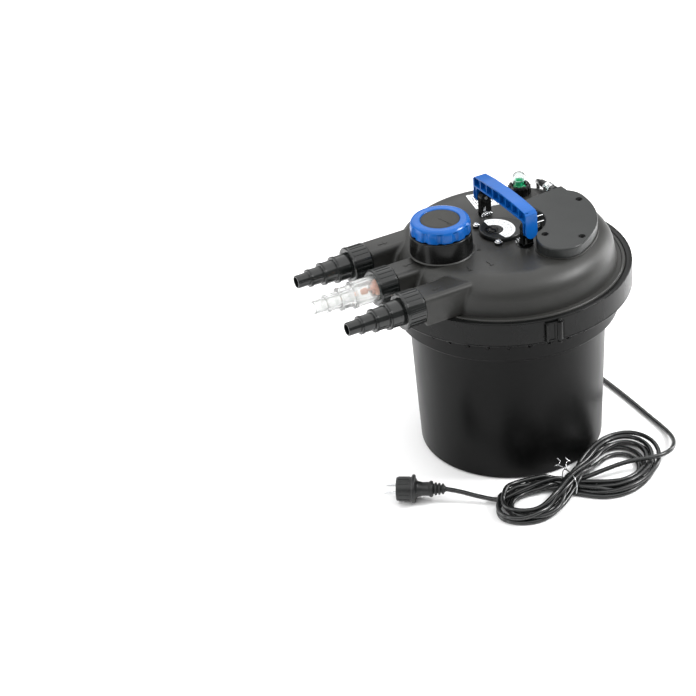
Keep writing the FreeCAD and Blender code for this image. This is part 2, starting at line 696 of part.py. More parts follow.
def make_sight():
    x, y = SIGHT
    cap = turned("sight_cap", [(12, 0), (17, 0), (17, 13), (15, 16), (12, 16)])
    repeat_round(cap, [(16, 1), (17.8, 1), (17.8, 12), (16, 12)], 2, 18)
    node(place(cap, x, y, 356.5), "sight_cap")
    glass = turned("sight_glass", [
        (0, 36), (4.5, 35.2), (8.4, 32.8), (10.9, 29), (11.7, 24.6), (11.7, 0), (9.9, 0),
        (9.9, 24.6), (8.9, 28.8), (6.8, 31.6), (3.6, 33.6), (0, 34.2)])
    node(place(glass, x, y, 356.5), "sight_glass")
    insert = turned("sight_insert", [(0, 0), (9.6, 0), (9.6, 20), (7.5, 22.5), (0, 23)])
    node(place(insert, x, y, 356.5), "sight_insert")


def make_label():
    plate = block("type_plate", (47, 38, 0.6), 7.5, 124.5, d.lid_top, turn=-101)
    node(plate, "type_plate")


def make_gland():
    x, z = GLAND
    steps = (("gland_body", 40, [(d.cord_radius, 0), (8.5, 0), (8.5, 8), (7, 8), (7, 15),
                                 (d.cord_radius, 15)]),
             ("gland_nut", 48.3, [(7.1, 0), (9.2, 0), (9.2, 10), (8, 15), (6.6, 17.5),
                                  (5.6, 17.5), (5.6, 7.4), (7.1, 7.4)]),
             ("strain_relief", 56, [(d.cord_radius, 0.4), (5.4, 0.4), (5.4, 12), (6.4, 13),
                                    (5, 24), (d.cord_radius, 24)]))
    for label, start, outline in steps:
        item = turned(label, outline)
        node(place(item, x, start, z, V(1, 0, 0), -90), label)


# ---------------------------------------------------------------------- cord
CORD_TOP = [V(116, 80, 366), V(117, 105, 358), V(130, 127, 330), V(147, 145, 292),
            V(156, 151, 240), V(158, 150, 188)]
CORD_LOW = [V(158.02, 149.99, 187.5), V(160, 149, 136), V(166, 140, 78), V(176, 118, 30),
            V(187, 78, 7), V(193, 22, 4), V(194, -38, 4), V(192, -100, 4), V(190, -150, 5),
            V(172, -190, 9), V(138, -206, 20)]
CORD_PLUG = [V(-108, -180, 12), V(-131, -159, 9), V(-152, -139, 13), V(-170, -124, 19),
             V(-186, -112.6, 22)]


def cord_tube(label, points):
    """A tube along a settled route."""
    route = round_corners(points)
    start = route.Edges[0]
    heading = start.tangentAt(start.FirstParameter)
    section = Part.Wire(Part.makeCircle(d.cord_radius.value, points[0], heading))
    item = doc.addObject("Part::Feature", label)
    item.Shape = route.makePipeShell([section], True, True)
    item.Placement = FreeCAD.Placement()
    expected = math.pi * d.cord_radius.value ** 2 * route.Length
    print("%s: %.0f mm long, volume %.3f of section x length"
          % (label, route.Length, item.Shape.Volume / expected))
    return node(item, label)


def make_hank():
    lobes = []
    for name, x, y, long_axis, short_axis, turn in (
            ("right_lobe", 66, -190, 88, 55, 12), ("left_lobe", -80, -198, 66, 40, 4)):
        ring = doc.addObject("Part::Ellipse", name + "_outline")
        ring.MajorRadius = long_axis
        ring.MinorRadius = short_axis
        place(ring, x, y, 0.5, turn=turn)
        lobe = doc.addObject("Part::Extrusion", name)
        lobe.Base = ring
        lobe.Dir = V(0, 0, 24)
        lobe.Solid = True
        lobes.append(lobe)
    waist = block("hank_waist", (60, 44, 24), -46, -214, 0.5)
    node(fuse("cord_hank", lobes + [waist]), "cord_hank")
    outer = block("tie_outer", (3, 50, 28), -16, -217, 0)
    inner = block("tie_inner", (3, 44, 24), -16, -214, 0.5)
    tails = [rod("tie_tail", 1, 22, -14.5, -190 + 4 * side, 26, V(1, 0, 0), -20 * side)
             for side in (-1, 1)]
    node(fuse("wire_tie", [cut("tie_loop", outer, inner)] + tails), "wire_tie")


def make_plug():
    lying = FreeCAD.Rotation(V(0, 1, 0), 90)
    heading = FreeCAD.Rotation(V(0, 0, 1), d.plug_turn.value)
    base = FreeCAD.Placement(CORD_PLUG[-1], heading.multiply(lying))
    shell = turned("plug_body", [
        (0, 0), (5.2, 0), (6.5, 14), (11, 18), (13, 22), (16.5, 42), (21.8, 44), (21.8, 48),
        (19.2, 48), (19, 72), (0, 72)])
    shell.Placement = base
    node(shell, "plug_body")
    pins = []
    for side in (-1, 1):
        pin = rod("plug_pin", 2.4, 19)
        pin.Placement = base.multiply(FreeCAD.Placement(V(0, 9.5 * side, 72),
                                                        FreeCAD.Rotation()))
        pins.append(pin)
    node(group("plug_pins", pins), "plug_pins")


# --------------------------------------------------------------------- build
make_bucket()
make_seal()
make_band()
make_latch()
make_lid()
make_ports()
make_selector()
make_posts()
make_handle()
make_stack()
make_lamp()
make_dial()
make_springs()
make_cover()
make_sight()
make_label()
make_gland()
cord_tube("cord_upper", CORD_TOP)
cord_tube("cord_lower", CORD_LOW)
cord_tube("cord_to_plug", CORD_PLUG)
make_hank()
make_plug()
doc.recompute()

for item in doc.Objects:
    if "Invalid" in item.State or "Error" in item.State:
        raise RuntimeError("%s did not build: %s" % (item.Label, item.State))
os.makedirs("parts", exist_ok=True)
for item in nodes:
    if item.Shape.isNull() or not item.Shape.isValid() or item.Shape.Volume <= 0:
        raise RuntimeError("%s has no valid solid" % item.Label)
    item.Shape.exportStep("parts/%s.step" % item.Label)
print("%d sub-parts" % len(nodes))
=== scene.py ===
"""Looks of a pond pressure filter: bucket, clamped lid, UV head, hose tails, mains cord and plug.

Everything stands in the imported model's own frame, in metres. Sizes in the helpers are
millimetres and are scaled by MM where they become mesh points.
"""
import math
import random
import bmesh
import bpy
from mathutils import Matrix, Vector, kdtree


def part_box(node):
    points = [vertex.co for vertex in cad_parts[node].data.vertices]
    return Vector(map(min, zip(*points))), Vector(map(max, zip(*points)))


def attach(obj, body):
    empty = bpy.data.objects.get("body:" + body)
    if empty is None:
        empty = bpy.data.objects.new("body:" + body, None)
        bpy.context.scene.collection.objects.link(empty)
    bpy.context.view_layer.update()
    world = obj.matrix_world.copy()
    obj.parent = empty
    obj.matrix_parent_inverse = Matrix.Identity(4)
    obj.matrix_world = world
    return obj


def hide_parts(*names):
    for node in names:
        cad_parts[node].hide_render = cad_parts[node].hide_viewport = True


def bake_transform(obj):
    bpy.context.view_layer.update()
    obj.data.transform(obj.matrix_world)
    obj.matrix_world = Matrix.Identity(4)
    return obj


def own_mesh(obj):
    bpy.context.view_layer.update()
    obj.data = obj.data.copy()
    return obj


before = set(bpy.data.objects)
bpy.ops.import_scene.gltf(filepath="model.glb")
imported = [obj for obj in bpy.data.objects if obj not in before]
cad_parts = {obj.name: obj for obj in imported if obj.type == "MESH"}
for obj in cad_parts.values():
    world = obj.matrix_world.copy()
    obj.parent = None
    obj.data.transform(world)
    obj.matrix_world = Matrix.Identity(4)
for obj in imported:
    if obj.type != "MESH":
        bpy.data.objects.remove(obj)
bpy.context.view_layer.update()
MM = 0.001
TAU = 2 * math.pi
scene = bpy.context.scene


# ------------------------------------------------------------------ camera, light and floor
def set_camera():
    azimuth, elevation, roll = (math.radians(x) for x in (-25.0, 31.82, -4.99))
    distance = 3.2
    back = Vector((math.sin(azimuth) * math.cos(elevation),
                   -math.cos(azimuth) * math.cos(elevation), math.sin(elevation)))
    side = Vector((math.cos(azimuth), math.sin(azimuth), 0))
    up = back.cross(side)
    right = side * math.cos(roll) + up * math.sin(roll)
    top = up * math.cos(roll) - side * math.sin(roll)
    aim_right, aim_up = -0.2585, 0.1246      # puts the object where the picture has it
    target = right * aim_right + top * aim_up
    data = bpy.data.cameras.new("camera")
    data.sensor_width = 36
    data.lens = 104.6
    data.clip_end = 50
    camera = bpy.data.objects.new("camera", data)
    scene.collection.objects.link(camera)
    turn = Matrix((right, top, back)).transposed().to_4x4()
    camera.matrix_world = Matrix.Translation(target + back * distance) @ turn
    scene.camera = camera


# Name, place, aim, size and power of each soft light.
LIGHTS = (
    ("ceiling", (0, 0.3, 3.5), (0, 0.3, 0), (8, 8), 330),
    ("key", (1.2, -0.85, 1.4), (0, 0, 0.3), (0.5, 0.4), 28),
    ("left_strip", (-1.9, -0.5, 0.75), (0, 0, 0.2), (0.35, 1.2), 7),
    ("left_back", (-2.2, 1.1, 0.75), (-0.2, 0, 0.33), (1.5, 1.1), 26),
    ("right_strip", (1.45, 0.05, 0.42), (0.1, 0, 0.1), (0.35, 0.75), 9),
    ("behind", (0.2, 2.0, 1.5), (0, 0, 0.3), (2.0, 0.8), 6),
)


def area_light(name, place, aim, size, power):
    data = bpy.data.lights.new(name, "AREA")
    data.shape = "RECTANGLE"
    data.size, data.size_y = size
    data.energy = power
    light = bpy.data.objects.new(name, data)
    scene.collection.objects.link(light)
    light.location = place
    light.rotation_euler = (Vector(aim) - Vector(place)).to_track_quat("-Z", "Y").to_euler()


def set_stage():
    world = bpy.data.worlds.new("studio")
    scene.world = world
    world.use_nodes = True
    sky = world.node_tree.nodes["Background"]
    sky.inputs["Color"].default_value = (1, 1, 1, 1)
    sky.inputs["Strength"].default_value = 0.38
    for light in LIGHTS:
        area_light(*light)
    mesh = bpy.data.meshes.new("floor")
    half = 6.0
    mesh.from_pydata([(-half, -half, 0), (half, -half, 0), (half, half, 0), (-half, half, 0)],
                     [], [(0, 1, 2, 3)])
    floor = bpy.data.objects.new("floor", mesh)
    scene.collection.objects.link(floor)
    paint = bpy.data.materials.new("floor_white")
    paint.use_nodes = True
    shader = paint.node_tree.nodes["Principled BSDF"]
    shader.inputs["Base Color"].default_value = (0.96, 0.96, 0.96, 1)
    shader.inputs["Roughness"].default_value = 0.9
    shader.inputs["Specular IOR Level"].default_value = 0.0
    mesh.materials.append(paint)
    scene.view_settings.view_transform = "Standard"


# ------------------------------------------------------------------ materials
PAINTS = {}


def ramp(tree, source, low, high, start=0.3, stop=0.7):
    """A colour ramp between two greys or two colours, driven by a noise socket."""
    node = tree.nodes.new("ShaderNodeValToRGB")
    node.color_ramp.elements[0].position = start
    node.color_ramp.elements[1].position = stop
    for element, value in zip(node.color_ramp.elements, (low, high)):
        rgb = value if isinstance(value, tuple) else (value,) * 3
        element.color = (*rgb, 1)
    tree.links.new(source, node.inputs["Fac"])
    return node.outputs["Color"]


def noise(tree, coords, scale, detail=4.0, stretch=None):
    """Fractal noise; scale is in features per metre of the object."""
    if stretch is not None:
        mapping = tree.nodes.new("ShaderNodeMapping")
        mapping.inputs["Scale"].default_value = stretch
        tree.links.new(coords, mapping.inputs["Vector"])
        coords = mapping.outputs["Vector"]
    node = tree.nodes.new("ShaderNodeTexNoise")
    node.inputs["Scale"].default_value = scale
    node.inputs["Detail"].default_value = detail
    tree.links.new(coords, node.inputs["Vector"])
    return node.outputs["Fac"]


def plastic(name, colour, rough, specular=0.5, grain=(900, 0.10, 0.25), cloud=(9, 0.12),
            scuffs=0.05, **sockets):
    """Moulded plastic, rubber or metal. grain is (scale, depth mm, strength) of its texture,
    cloud the size and share of its slow colour change, scuffs the spread of its roughness."""
    paint = bpy.data.materials.new(name)
    paint.use_nodes = True
    tree = paint.node_tree
    shader = tree.nodes["Principled BSDF"]
    coords = tree.nodes.new("ShaderNodeTexCoord").outputs["Object"]
    size, share = cloud
    dark = tuple(c * (1 - share) for c in colour)
    light = tuple(c * (1 + share) + 0.0015 for c in colour)
    tree.links.new(ramp(tree, noise(tree, coords, size, 5), dark, light),
                   shader.inputs["Base Color"])
    smear = noise(tree, coords, 22, 6, stretch=(1, 1, 0.35))
    tree.links.new(ramp(tree, smear, max(rough - scuffs, 0.02), rough + scuffs),
                   shader.inputs["Roughness"])
    scale, depth, strength = grain
    bump = tree.nodes.new("ShaderNodeBump")
    bump.inputs["Strength"].default_value = strength
    bump.inputs["Distance"].default_value = depth * MM
    tree.links.new(noise(tree, coords, scale, 2), bump.inputs["Height"])
    tree.links.new(bump.outputs["Normal"], shader.inputs["Normal"])
    shader.inputs["Specular IOR Level"].default_value = specular
    for socket, value in sockets.items():
        shader.inputs[socket.replace("_", " ")].default_value = value
    PAINTS[name] = paint


def foam(name, colour):
    """Open-cell filter foam: crowded hollows, with painted shade darkening their hearts."""
    paint = bpy.data.materials.new(name)
    paint.use_nodes = True
    tree = paint.node_tree
    shader = tree.nodes["Principled BSDF"]
    coords = tree.nodes.new("ShaderNodeTexCoord").outputs["Object"]
    cells = tree.nodes.new("ShaderNodeTexVoronoi")
    cells.inputs["Scale"].default_value = 320
    tree.links.new(coords, cells.inputs["Vector"])
    pit_depth_and_shade = cells.outputs["Distance"]
    # Painted shade: each hollow's heart goes down to a quarter of the foam colour.
    tree.links.new(ramp(tree, pit_depth_and_shade, tuple(c * 0.25 for c in colour), colour, 0.05, 0.55),
                   shader.inputs["Base Color"])
    bump = tree.nodes.new("ShaderNodeBump")
    bump.inputs["Strength"].default_value = 0.8
    bump.inputs["Distance"].default_value = 1.6 * MM
    tree.links.new(pit_depth_and_shade, bump.inputs["Height"])
    tree.links.new(bump.outputs["Normal"], shader.inputs["Normal"])
    shader.inputs["Roughness"].default_value = 0.95
    shader.inputs["Sheen Weight"].default_value = 0.3
    PAINTS[name] = paint


CLEAR = dict(Transmission_Weight=1.0, IOR=1.47)
plastic("gloss_black", (0.0016, 0.0017, 0.0017), 0.34, 0.11, grain=(140, 0.05, 0.12),
        cloud=(6, 0.2))
plastic("band_black", (0.0026, 0.0028, 0.0027), 0.28, 0.17, grain=(420, 0.05, 0.18),
        cloud=(8, 0.2))
plastic("charcoal", (0.0165, 0.0165, 0.0150), 0.43, 0.42, grain=(1100, 0.16, 0.55),
        cloud=(14, 0.16))
plastic("turret_black", (0.0022, 0.0023, 0.0022), 0.22, 0.22, grain=(700, 0.06, 0.2))
plastic("slate", (0.0125, 0.0138, 0.0134), 0.34, 0.34, grain=(800, 0.07, 0.25))
plastic("dial_grey", (0.0055, 0.0064, 0.0064), 0.34, 0.28, grain=(800, 0.06, 0.2))
plastic("grey_black", (0.0040, 0.0050, 0.0047), 0.15, 0.50, grain=(380, 0.05, 0.2),
        cloud=(30, 0.2))
plastic("blue", (0.0012, 0.082, 0.330), 0.19, 0.26, grain=(600, 0.06, 0.25), cloud=(25, 0.10))
plastic("inlay", (0.022, 0.0215, 0.019), 0.5, 0.3, grain=(900, 0.12, 0.5))
plastic("clear", (0.90, 0.92, 0.91), 0.08, 0.5, grain=(90, 0.03, 0.1), scuffs=0.03, **CLEAR)
plastic("dome_clear", (0.66, 0.69, 0.68), 0.06, 0.6, grain=(90, 0.03, 0.1), scuffs=0.03, **CLEAR)
plastic("milky", (0.86, 0.87, 0.86), 0.13, 0.5, grain=(160, 0.04, 0.12), scuffs=0.03,
        Transmission_Weight=0.84, IOR=1.38)
plastic("white", (0.78, 0.80, 0.80), 0.4, 0.4, grain=(700, 0.03, 0.15), cloud=(20, 0.03))
plastic("print", (0.05, 0.05, 0.055), 0.5, 0.3, grain=(700, 0.02, 0.1))
# Painted light: the sight core's paint glows faintly of its own, though the core is no lamp.
plastic("green", (0.02, 0.50, 0.20), 0.22, 0.5, grain=(200, 0.04, 0.2),
        Emission_Color=(0.02, 0.4, 0.16, 1), Emission_Strength=0.15)
plastic("mint", (0.35, 0.85, 0.62), 0.22, 0.5, grain=(200, 0.04, 0.2))
plastic("red", (0.85, 0.20, 0.11), 0.28, 0.5, grain=(200, 0.04, 0.2))
plastic("peach", (0.90, 0.42, 0.26), 0.30, 0.5, grain=(200, 0.04, 0.2))
plastic("steel", (0.62, 0.63, 0.64), 0.17, 0.5, grain=(500, 0.02, 0.15), cloud=(60, 0.08),
        Metallic=1.0)
plastic("rubber", (0.0085, 0.0092, 0.0092), 0.40, 0.40, grain=(1200, 0.10, 0.4), cloud=(20, 0.2))
plastic("cord", (0.0085, 0.0092, 0.0092), 0.25, 0.55, grain=(900, 0.08, 0.3), cloud=(25, 0.25))
# Near-black screw heads: painted shade for the dark sunk holes of the UV cover, on top of the
# modelled sockets.
plastic("screw_black", (0.0015, 0.0015, 0.0015), 0.35, 0.12, grain=(900, 0.05, 0.3))
foam("foam_blue", (0.05, 0.12, 0.35))
foam("foam_red", (0.42, 0.10, 0.06))
foam("foam_dark", (0.06, 0.06, 0.06))


# ------------------------------------------------------------------ mesh helpers
def finish_mesh(name, bm, paint, body, slot, bevel=0.0, sharp=40, where=None):
    """Turn a bmesh in millimetres into a piece that rides on a body. bevel is in millimetres,
    and edges sharper than sharp degrees stay crisp."""
    bmesh.ops.remove_doubles(bm, verts=bm.verts, dist=1e-4)
    bmesh.ops.recalc_face_normals(bm, faces=bm.faces)
    if where is not None:
        bmesh.ops.transform(bm, matrix=where, verts=bm.verts)
    bmesh.ops.scale(bm, vec=(MM,) * 3, verts=bm.verts)
    mesh = bpy.data.meshes.new(name)
    bm.to_mesh(mesh)
    bm.free()
    mesh.materials.append(PAINTS[paint])
    for face in mesh.polygons:
        face.use_smooth = True
    piece = bpy.data.objects.new(name, mesh)
    scene.collection.objects.link(piece)
    if bevel:
        rounding = piece.modifiers.new("rounding", "BEVEL")
        rounding.width = bevel * MM
        rounding.segments = 3
        rounding.limit_method = "ANGLE"
        rounding.angle_limit = math.radians(30)
        rounding.harden_normals = True
    mesh.set_sharp_from_angle(angle=math.radians(sharp))
    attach(piece, body)
    return piece


def stand_in(node, *finish):
    """A finished piece that is shown in place of a CAD node."""
    piece = finish_mesh(*finish)
    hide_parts(node)
    return piece


def softened(points, closed=True):
    """Points (x, y, radius) as a polyline whose corners are rounded by their radius."""
    out = []
    count = len(points)
    for i, (x, y, radius) in enumerate(points):
        corner = Vector((x, y))
        if radius <= 0 or (not closed and i in (0, count - 1)):
            out.append(corner)
            continue
        before = Vector(points[i - 1][:2]) - corner
        after = Vector(points[(i + 1) % count][:2]) - corner
        half = before.angle(after) / 2
        reach = min(radius / math.tan(half), before.length * 0.49, after.length * 0.49)
        first, last = corner + before.normalized() * reach, corner + after.normalized() * reach
        steps = max(2, round((math.pi - 2 * half) / math.radians(18)))
        for step in range(steps + 1):
            t = step / steps
            flat = first * (1 - t) ** 2 + corner * 2 * t * (1 - t) + last * t * t
            out.append(flat)
    return out


def lathe(bm, profile, steps, where=None, ripple=None):
    """Turn (radius, height, rounding) points about Z: a closed ring, or a solid if they start on
    the axis. steps is a count or a list of angles, ripple(angle, radius, height) adds radius."""
    closed = profile[0][0] > 0
    outline = softened(profile, closed)
    angles = steps if isinstance(steps, list) else [TAU * i / steps for i in range(steps)]
    steps = len(angles)
    rings = []
    for angle in angles:
        ring = []
        for point in outline:
            radius = point.x
            if ripple and radius > 1e-6:
                radius += ripple(angle, point.x, point.y)
            ring.append(bm.verts.new((radius * math.cos(angle), radius * math.sin(angle),
                                      point.y)))
        rings.append(ring)
    last = len(outline) if closed else len(outline) - 1
    made = [v for ring in rings for v in ring]
    for i in range(steps):
        here, there = rings[i], rings[(i + 1) % steps]
        for j in range(last):
            k = (j + 1) % len(outline)
            corners = [here[j], there[j], there[k], here[k]]
            flat = [outline[j].x < 1e-6, outline[k].x < 1e-6]
            if all(flat):
                continue
            if flat[0]:
                corners = [here[j], there[k], here[k]]
            elif flat[1]:
                corners = [here[j], there[j], here[k]]
            bm.faces.new(corners)
    if where is not None:
        bmesh.ops.transform(bm, matrix=where, verts=made)
    return made


def prism(bm, outline, low, high, where=None):
    """A straight-sided solid from a plane outline, between two heights."""
    bottom = [bm.verts.new((x, y, low)) for x, y in outline]
    top = [bm.verts.new((x, y, high)) for x, y in outline]
    bm.faces.new(list(reversed(bottom)))
    bm.faces.new(top)
    count = len(outline)
    for i in range(count):
        k = (i + 1) % count
        bm.faces.new((bottom[i], bottom[k], top[k], top[i]))
    if where is not None:
        bmesh.ops.transform(bm, matrix=where, verts=bottom + top)
    return bottom + top


def slab(bm, size, centre, where=None):
    """A box, for small ribs and ticks that are joined into a bigger piece."""
    x, y, z = (s / 2 for s in size)
    made = prism(bm, [(-x, -y), (x, -y), (x, y), (-x, y)], -z, z)
    bmesh.ops.translate(bm, vec=centre, verts=made)
    if where is not None:
        bmesh.ops.transform(bm, matrix=where, verts=made)
    return made


def circle(radius, count, x=0.0, y=0.0, start=0.0, stop=TAU):
    """Points on an arc, or on a whole circle when the arc closes."""
    whole = abs(stop - start - TAU) < 1e-9
    parts = count if whole else count - 1
    return [(x + radius * math.cos(start + (stop - start) * i / parts),
             y + radius * math.sin(start + (stop - start) * i / parts)) for i in range(count)]


def tube(bm, line, radius, sides):
    """A round tube along points, closed at its ends."""
    rings = []
    side = None
    for i, point in enumerate(line):
        ahead = (line[min(i + 1, len(line) - 1)] - line[max(i - 1, 0)]).normalized()
        if side is None:
            side = ahead.orthogonal().normalized()
        side = (side - ahead * side.dot(ahead)).normalized()
        other = ahead.cross(side)
        rings.append([bm.verts.new(point + (side * math.cos(TAU * k / sides)
                                            + other * math.sin(TAU * k / sides)) * radius)
                      for k in range(sides)])
    for here, there in zip(rings, rings[1:]):
        for k in range(sides):
            n = (k + 1) % sides
            bm.faces.new((here[k], here[n], there[n], there[k]))
    bm.faces.new(list(reversed(rings[0])))
    bm.faces.new(rings[-1])


def spline_points(control, fineness):
    """The points of a NURBS spline of order 3 through its control points."""
    curve = bpy.data.curves.new("route", "CURVE")
    curve.dimensions = "3D"
    curve.resolution_u = fineness
    line = curve.splines.new("NURBS")
    line.points.add(len(control) - 1)
    for point, place in zip(line.points, control):
        point.co = (*place, 1)
    line.use_endpoint_u = True
    line.order_u = 3
    holder = bpy.data.objects.new("route", curve)
    mesh = bpy.data.meshes.new_from_object(holder)
    points = [v.co.copy() for v in mesh.vertices]
    bpy.data.meshes.remove(mesh)
    bpy.data.objects.remove(holder)
    bpy.data.curves.remove(curve)
    return points


def moved(x, y):
    return Matrix.Translation((x, y, 0))


def spins(count):
    """Equal turns about Z, one for each rib of a ring."""
    return [Matrix.Rotation(TAU * i / count, 4, "Z") for i in range(count)]


def along_x(x, y, z):
    """Lay a piece's Z axis along -X from a point."""
    return Matrix.Translation((x, y, z)) @ Matrix.Rotation(math.radians(-90), 4, "Y")


# ------------------------------------------------------------------ mains cord
CORD_THICK = 0.007
CORD_TOP = [(116, 80, 366), (116.5, 95, 364), (129, 109, 344), (138, 127, 318), (148, 146, 290),
            (156, 151, 240), (158, 150, 188)]
CORD_LOW = [(160, 149, 136), (166, 140, 78), (176, 118, 30), (187, 78, 7), (193, 22, 4),
            (194, -38, 4), (193, -100, 4), (192, -150, 5), (181, -186, 12), (156, -214, 19.5),
            (126, -219, 21.5)]
CORD_IN = [(84, -203, 21), (40, -196, 16), (8, -190, 11)]
CORD_PLUG = [(-118, -172, 12), (-131, -159, 9), (-152, -139, 13), (-170, -124, 19),
             (-186, -112.6, 22)]
# One turn of the hank: up over the tie, round the right lobe, back under, round the left lobe.
LEFT_LOBE = [(-46, -166), (-78, -156), (-110, -160), (-134, -178), (-142, -203),
             (-126, -226), (-94, -238), (-58, -229)]
RIGHT_LOBE = [(24, -164), (58, -138), (96, -124), (130, -130), (148, -156), (146, -190),
              (126, -222), (92, -244), (54, -252), (20, -240)]
LEFT_HEART = Vector((-62, -196))
RIGHT_HEART = Vector((52, -192))
# For each turn: size, slide and height of its left lobe, then of its right lobe, then the
# sideways place and height at which it goes under and over the middle.
TURNS = (
    ((1.00, 0, 0, 4.0), (0.94, -5, -3, 4.0), (-11, 4.0), (-11, 18.5)),
    ((0.84, 6, 3, 6.0), (1.02, 1, 2, 13.0), (-3.5, 4.0), (-3.5, 18.5)),
    ((0.93, -6, -2, 12.0), (0.86, 4, 4, 13.0), (4, 4.0), (4, 18.5)),
    ((0.85, 6, -8, 10.0), (0.79, -8, -1, 4.2), (-7, 11.0), (11, 18.5)),
    ((0.82, 9, 5, 5.0), (0.62, -3, -6, 4.2), (11.5, 4.0), (-7, 25.0)),
    ((0.90, 2, 5, 17.0), (0.69, 9, 2, 13.0), (0.5, 11.0), (0.5, 25.0)),
)
UNDER = Vector((0.75, 0.66))       # across the strands that go under, at the tie
OVER = Vector((-0.646, 0.763))     # across the strands that go over
MIDDLE = Vector((-10, -192))


def lobe(points, heart, size, slide_x, slide_y, height, ends):
    """One lobe of one turn; its first and last points ease towards the middle's heights."""
    placed = []
    last = len(points) - 1
    for i, point in enumerate(points):
        spot = heart + (Vector(point) - heart) * size + Vector((slide_x, slide_y))
        lift = height
        if i == 0:
            lift = (height + ends[0]) / 2
        if i == last:
            lift = (height + ends[1]) / 2
        placed.append((spot.x, spot.y, lift))
    return placed


def hank_route():
    """The control points of the tied hank, from the lead-in to the lead to the plug."""
    route = []
    before = 11.0
    for left, right, (under, low), (over, high) in TURNS:
        route += lobe(LEFT_LOBE, LEFT_HEART, *left, (before, high))
        spot = MIDDLE + OVER * over
        route.append((spot.x, spot.y, high))
        route += lobe(RIGHT_LOBE, RIGHT_HEART, *right, (high, low))
        spot = MIDDLE + UNDER * under
        route.append((spot.x, spot.y, low))
        before = low
    route += [(-46, -172, 13), (-84, -172, 14)]
    return route


def settle(line, rounds=70):
    """Push the lying strands apart where they would run through each other. The stretch up to
    the lid and the last stretch into the plug stay where they are."""
    gap = CORD_THICK * 1.08
    own = 9                       # a strand's own next points, which may be closer than gap
    push = 0.22                   # share of an overlap that one round takes away
    loose = [p.z < 0.03 and p.x > -0.15 for p in line]
    offsets = [Vector() for _ in line]
    for _ in range(rounds):
        spots = [p + shift for p, shift in zip(line, offsets)]
        tree = kdtree.KDTree(len(spots))
        for i, spot in enumerate(spots):
            tree.insert(spot, i)
        tree.balance()
        for i, spot in enumerate(spots):
            for other, j, distance in tree.find_range(spot, gap):
                if j - i > own:
                    away = spot - other
                    away = away.normalized() if away.length > 1e-6 else Vector((0, 0, 1))
                    away *= (gap - distance) * push
                    offsets[i] += away
                    offsets[j] -= away
        eased = [offset.copy() for offset in offsets]
        for i in range(1, len(line) - 1):
            eased[i] = offsets[i] * 0.6 + (offsets[i - 1] + offsets[i + 1]) * 0.2
            eased[i].z = max(eased[i].z, CORD_THICK / 2 - line[i].z)
            if not loose[i]:
                eased[i] = Vector()
        offsets = eased
    return [p + shift for p, shift in zip(line, offsets)]


def make_cord():
    control = [Vector(p) * MM for p in CORD_TOP + CORD_LOW + CORD_IN + hank_route() + CORD_PLUG]
    line = settle(spline_points(control, 8))
    bm = bmesh.new()
    tube(bm, line, CORD_THICK / 2, 14)
    mesh = bpy.data.meshes.new("mains_cord")
    bm.to_mesh(mesh)
    bm.free()
    mesh.materials.append(PAINTS["cord"])
    for face in mesh.polygons:
        face.use_smooth = True
    cord = bpy.data.objects.new("mains_cord", mesh)
    scene.collection.objects.link(cord)
    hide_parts("cord_upper", "cord_lower", "cord_hank", "cord_to_plug")
    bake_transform(cord)
    return cord, line, sum((a - b).length for a, b in zip(line, line[1:]))


# ------------------------------------------------------------------ places taken from the model
def low(node):
    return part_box(node)[0] / MM


def high(node):
    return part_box(node)[1] / MM


def middle(node):
    return (low(node) + high(node)) / 2


LID_TOP = low("type_plate").z
DUCT_END = high("outlet_nut").x + 0.5
KNOB = middle("selector_knob")
HUB = Vector((middle("dial_pointer").x, low("dial_pointer").y + 7.5, low("dial_scale").z))
SIGHT = middle("sight_cap")
GLAND = middle("gland_body")
TILT_X = Matrix.Rotation(math.radians(-90), 4, "X")      # lays a piece's Z axis along +Y
GUSSETS = 36
LATCH_ANGLE = math.radians(-100)
LATCH_HALF = math.radians(4.9)                           # half of the latch window's angle
NUT_RIBS, CAP_RIBS, PLUG_RIBS = 22, 18, 12
KNOB_FLUTES = 12
DISC_RADIUS, SCALE_RADIUS = 34, 32.4                     # of the dial's disc and its white band
DIAL_SCREWS = ((-30, 29), (-30, -34))
COVER_SCREWS = ((125.7, -11.3), (26.0, -73.6), (66.6, -109.7))
LABEL_TURN = math.radians(-101)


# ------------------------------------------------------------------ bucket and band
def make_bucket():
    bm = bmesh.new()
    lathe(bm, [(0, 0, 0), (132, 0, 1), (134, 1.2, 1), (141.7, 1.2, 6), (150.2, 229.3, 3),
               (168.8, 229.3, 2.2), (169.6, 231.5, 0.5), (171.8, 262, 2.5), (186.4, 267.3, 1.2),
               (186.4, 283.7, 0.8), (181, 283.7, 0.4), (181, 277.5, 0.4), (174.6, 277.5, 0.4),
               (174.6, 283.7, 0.4), (168, 283.7, 0.8), (164.8, 233.3, 2), (146.2, 233.3, 3),
               (137.7, 4, 6), (0, 4, 0)], 224)
    lathe(bm, [(150.0, 222, 0.4), (151.2, 223, 0.5), (151.4, 227, 0.5), (150.0, 229.6, 0.3)], 224)
    upright = Matrix.Rotation(math.pi / 2, 4, "X")
    for turn in spins(GUSSETS):
        prism(bm, [(169.8, 251.0), (172.6, 252.5), (184.8, 266.6), (184.8, 268.5),
                   (171.0, 268.5)], -1.6, 1.6, turn @ upright)
    stand_in("bucket", "bucket_shell", bm, "gloss_black", "root", "gloss_black", 0, 35)


